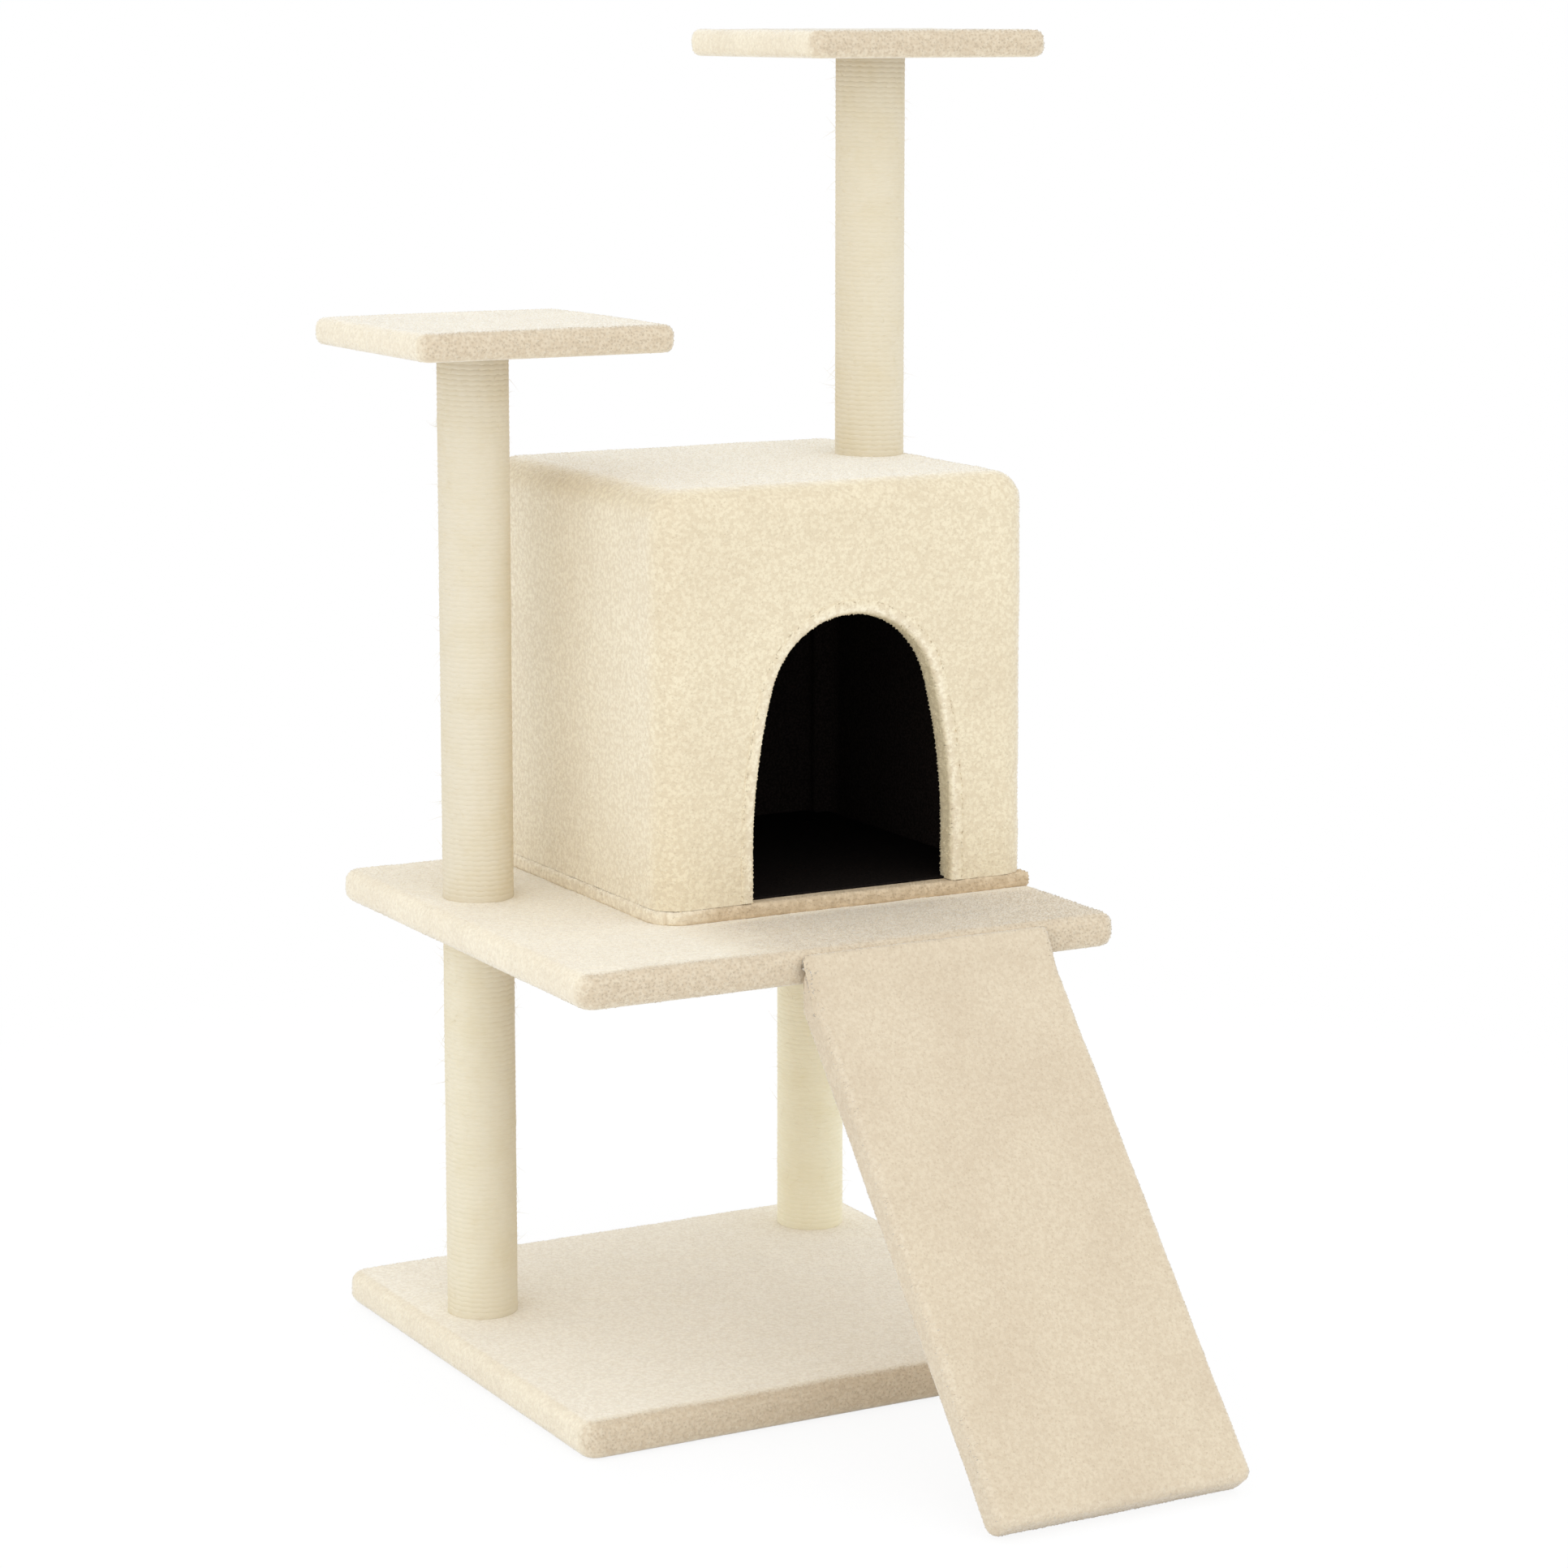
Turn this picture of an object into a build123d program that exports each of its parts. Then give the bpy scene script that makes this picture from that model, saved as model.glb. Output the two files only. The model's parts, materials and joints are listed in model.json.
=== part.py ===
from build123d import *
import math
import os

# Free-standing cat tree: a base and a shelf on two sisal posts, a house with an arched doorway on the
# shelf, two lookout perches on posts of their own, and a plush ramp hinged to the shelf's front edge.
# Lengths are in millimetres. +X runs right along the front, +Y to the back, +Z up.
# The origin is the middle of the base's underside, where it stands on the floor.

# Plush-covered boards
PLUSH = 9.0               # backing and pile, on every face of a board
BOARD_X = 560.0           # base and shelf panels, left to right
BOARD_Y = 548.0           # base and shelf panels, front to back
BOARD_T = 18.0
PERCH_X = 252.0
PERCH_Y = 252.0
PERCH_T = 12.0
PLAN_CORNER = 11.0        # corners of a covered board, seen from above
EDGE_ROUND = 9.0          # long edges of a covered board

# Sisal posts
TUBE_D = 60.0
TUBE_WALL = 4.0
SISAL = 5.0               # rope wound over the tube
LOWER_POST = 385.0        # free lengths between the boards
LEFT_POST = 536.0
TOP_POST = 398.0
PLUG_T = 30.0             # wooden plug in each end of a tube
SLIP = 0.1                # radial clearance of pieces slid together

# Where the posts and perches stand, from the panels' edges or from their posts
LEFT_POST_INSET = 59.0    # from the panel's left edge
LEFT_POST_Y = 89.0
RIGHT_POST_INSET_X = 65.0
RIGHT_POST_INSET_Y = 73.0
TOP_POST_INSET_X = 52.0   # from the house wall's outer face
TOP_POST_INSET_Y = 178.0
LEFT_PERCH_SHIFT_X = 18.0
LEFT_PERCH_SHIFT_Y = -8.0
TOP_PERCH_SHIFT_X = -4.0
TOP_PERCH_SHIFT_Y = 2.0

# House
HOUSE_X = 394.0           # over the wall panels
HOUSE_Y = 387.0
HOUSE_WALL_H = 382.0
HOUSE_WALL_T = 12.0
HOUSE_ROUND = 31.0        # outer edges of its cover
HOUSE_MARGIN = 7.0        # from its cover to the shelf cover's right and back edges
FLOOR_T = 9.0
FLOOR_CARPET = 3.0
FLOOR_CORNER = 6.0        # right corners of the carpeted plate; the left ones follow the house's
BATTEN = 18.0
LINING = 2.0
DOOR_WIDTH = 220.0
DOOR_HEIGHT = 273.0       # above the house floor
DOOR_SPRING = 48.0        # straight part of the jambs
DOOR_SHOULDER = 18.0      # the crown's radius is this much less than half the width
DOOR_SHIFT = 5.0          # doorway's middle to the right of the wall's middle
TRIM_T = 6.0
TRIM_LIP = 3.0            # trim past the lining, inside the house

# Ramp and its hinges
RAMP_X = 252.0
RAMP_T = 15.0
RAMP_LENGTH = 558.0       # covered, from the hinge line to the foot
RAMP_SHIFT = -11.0        # ramp's middle to the right of the doorway's middle
RAMP_TOP_DROP = 0.8       # covered top face below the hinge axis
HINGE_DROP = 11.0         # hinge axis below the shelf's top
HINGE_W = 50.0
HINGE_SPREAD = 160.0
LEAF_T = 1.2
LEAF_H = 41.0
BARREL_D = 5.0
PIN_D = 2.5
PIN_RUNNING = 0.05        # radial clearance of the turning knuckle
KNUCKLE_W = 15.0
KNUCKLE_GAP = 0.3
BARREL_CLEAR = 0.1        # barrel to the shelf's front face
LEAF_NOTCH = 1.0          # leaf kept clear of the other leaf's knuckles
PIN_HEAD_D = 4.4
PIN_HEAD_T = 0.8
CLEAT_PAST = 12.0         # covered cleat past the ramp's right side
CLEAT_SHORT = 25.0        # covered cleat short of the ramp's left side
CLEAT_CORE_Y = 16.0
CLEAT_CORE_Z = 16.0
CLEAT_ROUND = 7.0

# Fasteners
BOLT_D = 8.0
BOLT_HEAD_AF = 13.0
BOLT_HEAD_T = 5.3
WASHER_D = 24.0
WASHER_T = 1.6
HEAD_ROOM = 2.0           # plush cut back round a washer
THREAD_PAST = 4.0         # bolt's end past its tee nut
TEE_FLANGE_D = 22.0
TEE_FLANGE_T = 1.5
TEE_BARREL_D = 10.0
TEE_BARREL_H = 8.0
INSERT_D = 12.0
INSERT_H = 9.0
SCREW_D = 3.5
SCREW_HEAD_D = 6.5
SCREW_HEAD_T = 1.2
HINGE_SCREW_L = 22.0
RAMP_SCREW_L = 9.0        # ends inside the ramp's panel, under the plush
HINGE_SCREW_SPREAD = 30.0
CLEAT_SCREW_L = 40.0
CLEAT_SCREW_SPREAD = 70.0 # between the hinges
FLOOR_SCREW_L = 30.0
FLOOR_SCREW_INSET = 45.0  # from the house's inner corners

# Heights of the storeys
COVERED_T = BOARD_T + 2 * PLUSH
PERCH_COVERED_T = PERCH_T + 2 * PLUSH
BASE_TOP = COVERED_T
SHELF_BOTTOM = BASE_TOP + LOWER_POST
SHELF_TOP = SHELF_BOTTOM + COVERED_T
FLOOR_TOP = SHELF_TOP + FLOOR_T + FLOOR_CARPET
WALL_TOP = FLOOR_TOP + HOUSE_WALL_H
ROOF_TOP = WALL_TOP + HOUSE_WALL_T + PLUSH
LEFT_PERCH_BOTTOM = SHELF_TOP + LEFT_POST
TOP_PERCH_BOTTOM = ROOF_TOP + TOP_POST

# Plan positions
FRONT = -BOARD_Y / 2 - PLUSH
HOUSE_X1 = BOARD_X / 2 - HOUSE_MARGIN
HOUSE_X0 = HOUSE_X1 - HOUSE_X
HOUSE_Y1 = BOARD_Y / 2 - HOUSE_MARGIN
HOUSE_Y0 = HOUSE_Y1 - HOUSE_Y
DOOR_X = (HOUSE_X0 + HOUSE_X1) / 2 + DOOR_SHIFT
LEFT_AT = (-BOARD_X / 2 + LEFT_POST_INSET, LEFT_POST_Y)
RIGHT_AT = (BOARD_X / 2 - RIGHT_POST_INSET_X, BOARD_Y / 2 - RIGHT_POST_INSET_Y)
TOP_AT = (HOUSE_X1 - TOP_POST_INSET_X, HOUSE_Y1 - TOP_POST_INSET_Y)
LEFT_PERCH_AT = (LEFT_AT[0] + LEFT_PERCH_SHIFT_X, LEFT_AT[1] + LEFT_PERCH_SHIFT_Y)
TOP_PERCH_AT = (TOP_AT[0] + TOP_PERCH_SHIFT_X, TOP_AT[1] + TOP_PERCH_SHIFT_Y)
PLUG_D = TUBE_D - 2 * TUBE_WALL - 2 * SLIP
BOLT_REACH = PLUG_T + TEE_FLANGE_T + THREAD_PAST

# Hinge line, and the slope at which the ramp's foot just stands on the floor
RAMP_MID = DOOR_X + RAMP_SHIFT
HINGE_Y = FRONT - BARREL_D / 2 - BARREL_CLEAR
HINGE_Z = SHELF_TOP - HINGE_DROP
HEAD_Y = 2 * HINGE_Y - FRONT
RAMP_COVERED_T = RAMP_T + 2 * PLUSH
FOOT_ROUND = min(EDGE_ROUND, 0.45 * RAMP_COVERED_T)
FOOT_REACH = RAMP_LENGTH - FOOT_ROUND
FOOT_DEPTH = RAMP_COVERED_T - FOOT_ROUND + RAMP_TOP_DROP
SLOPE = (math.asin((HINGE_Z - FOOT_ROUND) / math.hypot(FOOT_REACH, FOOT_DEPTH))
         - math.atan2(FOOT_DEPTH, FOOT_REACH))

nodes = {}


def block(x0, x1, y0, y1, z0, z1):
    """A box between two corners."""
    return Pos((x0 + x1) / 2, (y0 + y1) / 2, (z0 + z1) / 2) * Box(x1 - x0, y1 - y0, z1 - z0)


def rod(at, z0, z1, diameter):
    """An upright cylinder."""
    return Pos(at[0], at[1], (z0 + z1) / 2) * Cylinder(diameter / 2, z1 - z0)


def rod_x(x0, x1, y, z, diameter):
    """A cylinder that lies along X."""
    return Pos((x0 + x1) / 2, y, z) * Rot(0, 90, 0) * Cylinder(diameter / 2, x1 - x0)


def rounded(body, plan_round, edge_round, top_only=False):
    """Rounds a box's upright edges, then the edges round its top and bottom."""
    body = fillet(body.edges().filter_by(Axis.Z), plan_round)
    faces = body.faces().sort_by(Axis.Z)
    rims = faces[-1].edges()
    if not top_only:
        rims = rims + faces[0].edges()
    return fillet(rims, edge_round)


def group(solids):
    """Separate solids that share one node."""
    return Compound(children=list(solids))


def covered_board(at, z0, x, y, t, bores):
    """A panel and the plush that wraps it. Each bore is (at, z0, z1, diameter)."""
    half_x, half_y = x / 2, y / 2
    panel = block(at[0] - half_x, at[0] + half_x, at[1] - half_y, at[1] + half_y, z0 + PLUSH, z0 + PLUSH + t)
    covered_t = t + 2 * PLUSH
    skin = rounded(Box(x + 2 * PLUSH, y + 2 * PLUSH, covered_t), PLAN_CORNER, min(EDGE_ROUND, 0.47 * covered_t))
    cover = Pos(at[0], at[1], z0 + covered_t / 2) * skin - panel
    for place, low, high, diameter in bores:
        drill = rod(place, low, high, diameter)
        panel = panel - drill
        cover = cover - drill
    return panel, cover


def bolt(at, seat, end, head_below):
    """A hexagon bolt whose head and washer bear on the seat. Returns the bolt and the washer."""
    way = -1 if head_below else 1
    under_head = seat + way * WASHER_T
    head_end = under_head + way * BOLT_HEAD_T
    low, high = sorted((under_head, head_end))
    hexagon = RegularPolygon(BOLT_HEAD_AF / math.sqrt(3), 6)
    head = Pos(at[0], at[1], low) * extrude(hexagon, high - low)
    shank = rod(at, *sorted((under_head, end)), BOLT_D)
    washer = rod(at, *sorted((seat, under_head)), WASHER_D)
    washer = washer - rod(at, *sorted((seat, under_head)), BOLT_D + 2 * SLIP)
    return head + shank, washer


def post(name, at, z0, z1):
    """A cardboard tube wound with sisal, a plug in each end and a tee nut on each plug's inner face."""
    nodes[name + "_tube"] = rod(at, z0, z1, TUBE_D) - rod(at, z0, z1, TUBE_D - 2 * TUBE_WALL)
    sleeve = rod(at, z0, z1, TUBE_D + 2 * SISAL)
    nodes[name + "_sisal"] = sleeve - rod(at, z0, z1, TUBE_D + 2 * SLIP)
    plugs = []
    nuts = []
    for end, way in ((z0, 1), (z1, -1)):
        inner = end + way * PLUG_T
        barrel_end = inner - way * TEE_BARREL_H
        flange_end = inner + way * TEE_FLANGE_T
        plug = rod(at, *sorted((end, inner)), PLUG_D)
        plug = plug - rod(at, *sorted((end, inner)), BOLT_D + 2 * SLIP)
        plugs.append(plug - rod(at, *sorted((barrel_end, inner)), TEE_BARREL_D + 2 * SLIP))
        nut = rod(at, *sorted((inner, flange_end)), TEE_FLANGE_D)
        nut = nut + rod(at, *sorted((barrel_end, inner)), TEE_BARREL_D)
        nuts.append(nut - rod(at, *sorted((barrel_end, flange_end)), BOLT_D + 2 * SLIP))
    nodes[name + "_plugs"] = group(plugs)
    return nuts


def perch(name, at, post_at, z0):
    """A covered perch, with the threaded insert and stud that hold it on its post."""
    seat = z0 + PLUSH
    bores = [(post_at, z0, seat, BOLT_D + 2 * SLIP), (post_at, seat, seat + INSERT_H, INSERT_D)]
    panel, cover = covered_board(at, z0, PERCH_X, PERCH_Y, PERCH_T, bores)
    nodes[name + "_panel"] = panel
    nodes[name + "_cover"] = cover
    insert = rod(post_at, seat, seat + INSERT_H, INSERT_D)
    nodes[name + "_insert"] = insert - rod(post_at, seat, seat + INSERT_H, BOLT_D + 2 * SLIP)
    nodes[name + "_stud"] = rod(post_at, z0 - BOLT_REACH, seat + INSERT_H, BOLT_D)


def doorway(grow, y0, y1):
    """The arched doorway as a prism from y0 to y1, larger by grow all round its arch."""
    half = DOOR_WIDTH / 2
    crown = half - DOOR_SHOULDER
    rise = DOOR_HEIGHT - crown - DOOR_SPRING
    side = (half ** 2 + rise ** 2 - crown ** 2) / (2 * (half - crown))
    turn = math.atan2(rise, side - half)
    spring_z = FLOOR_TOP + DOOR_SPRING
    crown_z = spring_z + rise

    def side_point(angle, way):
        radius = side + grow
        return (DOOR_X + way * (half - side + radius * math.cos(angle)), y0, spring_z + radius * math.sin(angle))

    top = (DOOR_X, y0, crown_z + crown + grow)
    foot_right = (DOOR_X + half + grow, y0, FLOOR_TOP)
    foot_left = (DOOR_X - half - grow, y0, FLOOR_TOP)
    edges = [
        Line(foot_right, side_point(0, 1)),
        ThreePointArc(side_point(0, 1), side_point(turn / 2, 1), side_point(turn, 1)),
        ThreePointArc(side_point(turn, 1), top, side_point(turn, -1)),
        ThreePointArc(side_point(turn, -1), side_point(turn / 2, -1), side_point(0, -1)),
        Line(side_point(0, -1), foot_left),
        Line(foot_left, foot_right),
    ]
    return extrude(make_face(edges), amount=y1 - y0, dir=(0, 1, 0))


def screw(length):
    """A countersunk screw along +Z, with its head's top at the origin and its point above."""
    head = Pos(0, 0, SCREW_HEAD_T / 2) * Cone(SCREW_HEAD_D / 2, SCREW_D / 2, SCREW_HEAD_T)
    shank = Pos(0, 0, length / 2) * Cylinder(SCREW_D / 2, length)
    return head + shank


# Base
base_bores = []
for at in (LEFT_AT, RIGHT_AT):
    base_bores.append((at, 0, PLUSH, WASHER_D + 2 * HEAD_ROOM))
    base_bores.append((at, PLUSH, BASE_TOP, BOLT_D + 2 * SLIP))
nodes["base_panel"], nodes["base_cover"] = covered_board((0, 0), 0, BOARD_X, BOARD_Y, BOARD_T, base_bores)
base_fixings = [bolt(at, PLUSH, BASE_TOP + BOLT_REACH, True) for at in (LEFT_AT, RIGHT_AT)]
nodes["base_bolts"] = group(pair[0] for pair in base_fixings)
nodes["base_washers"] = group(pair[1] for pair in base_fixings)

# Posts
tee_nuts = post("lower_left_post", LEFT_AT, BASE_TOP, SHELF_BOTTOM)
tee_nuts += post("lower_right_post", RIGHT_AT, BASE_TOP, SHELF_BOTTOM)
tee_nuts += post("upper_left_post", LEFT_AT, SHELF_TOP, LEFT_PERCH_BOTTOM)
tee_nuts += post("top_post", TOP_AT, ROOF_TOP, TOP_PERCH_BOTTOM)
nodes["post_tee_nuts"] = group(tee_nuts)

# House floor screws, at the inner corners, bite in the shelf's panel
room_x0 = HOUSE_X0 + HOUSE_WALL_T
room_x1 = HOUSE_X1 - HOUSE_WALL_T
room_y0 = HOUSE_Y0 + HOUSE_WALL_T
room_y1 = HOUSE_Y1 - HOUSE_WALL_T
floor_screw_places = [
    (x, y)
    for x in (room_x0 + FLOOR_SCREW_INSET, room_x1 - FLOOR_SCREW_INSET)
    for y in (room_y0 + FLOOR_SCREW_INSET, room_y1 - FLOOR_SCREW_INSET)
]
floor_panel_top = FLOOR_TOP - FLOOR_CARPET
floor_screws = [Pos(x, y, floor_panel_top) * Rot(180, 0, 0) * screw(FLOOR_SCREW_L) for x, y in floor_screw_places]
nodes["house_floor_screws"] = group(floor_screws)

# Shelf, with the stud that joins the left posts and the bolt down into the right post
nodes["shelf_stud"] = rod(LEFT_AT, SHELF_BOTTOM - BOLT_REACH, SHELF_TOP + BOLT_REACH, BOLT_D)
shelf_bores = [(at, SHELF_BOTTOM, SHELF_TOP, BOLT_D + 2 * SLIP) for at in (LEFT_AT, RIGHT_AT)]
shelf_panel, shelf_cover = covered_board((0, 0), SHELF_BOTTOM, BOARD_X, BOARD_Y, BOARD_T, shelf_bores)
for piece in floor_screws:
    shelf_panel = shelf_panel - piece
    shelf_cover = shelf_cover - piece
nodes["shelf_bolt"], nodes["shelf_bolt_washer"] = bolt(RIGHT_AT, floor_panel_top, SHELF_BOTTOM - BOLT_REACH, False)

# House floor and its carpet
floor_panel = block(HOUSE_X0 - PLUSH + FLOOR_CARPET, HOUSE_X1 + PLUSH - FLOOR_CARPET,
                    HOUSE_Y0 - PLUSH + FLOOR_CARPET, HOUSE_Y1 + PLUSH - FLOOR_CARPET,
                    SHELF_TOP, floor_panel_top)
carpet = block(HOUSE_X0 - PLUSH, HOUSE_X1 + PLUSH, HOUSE_Y0 - PLUSH, HOUSE_Y1 + PLUSH, SHELF_TOP, FLOOR_TOP)
floor_panel = fillet(floor_panel.edges().filter_by(Axis.Z).sort_by(Axis.X)[:2], HOUSE_ROUND - FLOOR_CARPET)
carpet = fillet(carpet.edges().filter_by(Axis.Z).sort_by(Axis.X)[:2], HOUSE_ROUND)
carpet = fillet(carpet.edges().filter_by(Axis.Z).sort_by(Axis.X)[-2:], FLOOR_CORNER)
carpet = fillet(carpet.faces().sort_by(Axis.Z)[-1].edges(), FLOOR_CARPET * 0.8) - floor_panel
floor_panel = floor_panel - rod(RIGHT_AT, SHELF_TOP, floor_panel_top, BOLT_D + 2 * SLIP)
for piece in floor_screws:
    floor_panel = floor_panel - piece
nodes["house_floor_panel"] = floor_panel
nodes["house_floor_carpet"] = carpet - rod(RIGHT_AT, floor_panel_top, FLOOR_TOP, WASHER_D + 2 * HEAD_ROOM)

# House walls and roof, with their outer edges rounded so that the plush is as thick there as on the flats
doorway_cut = doorway(TRIM_T, HOUSE_Y0 - PLUSH, room_y0 + LINING + TRIM_LIP)
roof_top = WALL_TOP + HOUSE_WALL_T
core_round = max(HOUSE_ROUND - PLUSH, 1.0)
carcass = block(HOUSE_X0, HOUSE_X1, HOUSE_Y0, HOUSE_Y1, FLOOR_TOP, roof_top)
carcass = rounded(carcass, core_round, core_round * 0.98, top_only=True)
nodes["house_front"] = (block(HOUSE_X0, HOUSE_X1, HOUSE_Y0, room_y0, FLOOR_TOP, WALL_TOP) & carcass) - doorway_cut
nodes["house_back"] = block(HOUSE_X0, HOUSE_X1, room_y1, HOUSE_Y1, FLOOR_TOP, WALL_TOP) & carcass
nodes["house_left"] = block(HOUSE_X0, room_x0, room_y0, room_y1, FLOOR_TOP, WALL_TOP) & carcass
nodes["house_right"] = block(room_x1, HOUSE_X1, room_y0, room_y1, FLOOR_TOP, WALL_TOP) & carcass
roof_bore = rod(TOP_AT, WALL_TOP, ROOF_TOP, BOLT_D + 2 * SLIP)
nodes["house_roof"] = (block(HOUSE_X0, HOUSE_X1, HOUSE_Y0, HOUSE_Y1, WALL_TOP, roof_top) & carcass) - roof_bore
nodes["roof_bolt"], nodes["roof_bolt_washer"] = bolt(TOP_AT, WALL_TOP, ROOF_TOP + BOLT_REACH, True)

# House cover, one plush skin over the walls and roof, open below
skin = block(HOUSE_X0 - PLUSH, HOUSE_X1 + PLUSH, HOUSE_Y0 - PLUSH, HOUSE_Y1 + PLUSH, FLOOR_TOP, ROOF_TOP)
house_round = core_round + PLUSH
skin = rounded(skin, house_round, house_round * 0.98, top_only=True) - carcass
nodes["house_cover"] = skin - doorway_cut - roof_bore
trim = doorway(TRIM_T, HOUSE_Y0 - PLUSH, room_y0 + LINING + TRIM_LIP)
nodes["door_trim"] = trim - doorway(0, HOUSE_Y0 - PLUSH, room_y0 + LINING + TRIM_LIP)

# Corner battens inside the house, and the dark lining round them
battens = []
batten_clear = []
for x0, x1, shy_x0, shy_x1 in ((room_x0, room_x0 + BATTEN, 0, LINING), (room_x1 - BATTEN, room_x1, LINING, 0)):
    for y0, y1, shy_y0, shy_y1 in ((room_y0, room_y0 + BATTEN, 0, LINING), (room_y1 - BATTEN, room_y1, LINING, 0)):
        battens.append(block(x0, x1, y0, y1, FLOOR_TOP, WALL_TOP))
        batten_clear.append(block(x0 - shy_x0, x1 + shy_x1, y0 - shy_y0, y1 + shy_y1, FLOOR_TOP, WALL_TOP))
nodes["house_corner_battens"] = group(battens)
lining = block(room_x0, room_x1, room_y0, room_y1, FLOOR_TOP, WALL_TOP)
room = block(room_x0 + LINING, room_x1 - LINING, room_y0 + LINING, room_y1 - LINING, FLOOR_TOP, WALL_TOP - LINING)
for batten, clear in zip(battens, batten_clear):
    lining = lining - batten
    room = room - clear
lining = lining - room - doorway_cut
nodes["house_lining"] = lining - rod(TOP_AT, WALL_TOP - LINING, WALL_TOP, WASHER_D + 2 * HEAD_ROOM)

# Perches
perch("left_perch", LEFT_PERCH_AT, LEFT_AT, LEFT_PERCH_BOTTOM)
perch("top_perch", TOP_PERCH_AT, TOP_AT, TOP_PERCH_BOTTOM)

# Cleat under the shelf's front edge, which backs the ramp's head and the hinges
ramp_half = RAMP_X / 2 + PLUSH
cleat_y1 = FRONT + CLEAT_CORE_Y + 2 * PLUSH
cleat_z0 = SHELF_BOTTOM - CLEAT_CORE_Z - PLUSH
cleat_x0 = RAMP_MID - ramp_half + CLEAT_SHORT
cleat_x1 = RAMP_MID + ramp_half + CLEAT_PAST
core_z0 = cleat_z0 + PLUSH
core = block(cleat_x0 + PLUSH, cleat_x1 - PLUSH, FRONT + PLUSH, cleat_y1 - PLUSH, core_z0, SHELF_BOTTOM)
wrap = block(cleat_x0, cleat_x1, FRONT, cleat_y1, cleat_z0, SHELF_BOTTOM)
wrap = fillet(wrap.edges().filter_by(Axis.Z), CLEAT_ROUND)
wrap = fillet(wrap.faces().sort_by(Axis.Z)[0].edges(), CLEAT_ROUND * 0.98) - core
cleat_mid_y = (FRONT + cleat_y1) / 2
cleat_screws = []
for x in (RAMP_MID - CLEAT_SCREW_SPREAD / 2, RAMP_MID + CLEAT_SCREW_SPREAD / 2):
    cleat_screws.append(Pos(x, cleat_mid_y, core_z0) * screw(CLEAT_SCREW_L))
    wrap = wrap - rod((x, cleat_mid_y), cleat_z0, core_z0, SCREW_HEAD_D)
for piece in cleat_screws:
    core = core - piece
    shelf_panel = shelf_panel - piece
    shelf_cover = shelf_cover - piece
nodes["cleat_screws"] = group(cleat_screws)

# Ramp, drawn lying along -Y with its covered top face just under the hinge axis, then turned down
RAMP_PLACE = Pos(RAMP_MID, HINGE_Y, HINGE_Z) * Rot(math.degrees(SLOPE), 0, 0)
behind_head = block(-BOARD_X, BOARD_X, HEAD_Y, HEAD_Y + BOARD_Y, HINGE_Z - BOARD_X, HINGE_Z + BOARD_X)
past_head = RAMP_COVERED_T * 2
top_n = -RAMP_TOP_DROP
skin_x = RAMP_X / 2 + PLUSH
ramp_skin = block(-skin_x, skin_x, -RAMP_LENGTH, past_head, top_n - RAMP_COVERED_T, top_n)
ramp_skin = rounded(ramp_skin, PLAN_CORNER, FOOT_ROUND)
ramp_core = block(-RAMP_X / 2, RAMP_X / 2, -RAMP_LENGTH + PLUSH, past_head * 2,
                  top_n - PLUSH - RAMP_T, top_n - PLUSH)
ramp_cover = RAMP_PLACE * (ramp_skin - ramp_core) - behind_head
ramp_panel = RAMP_PLACE * ramp_core - behind_head

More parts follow.
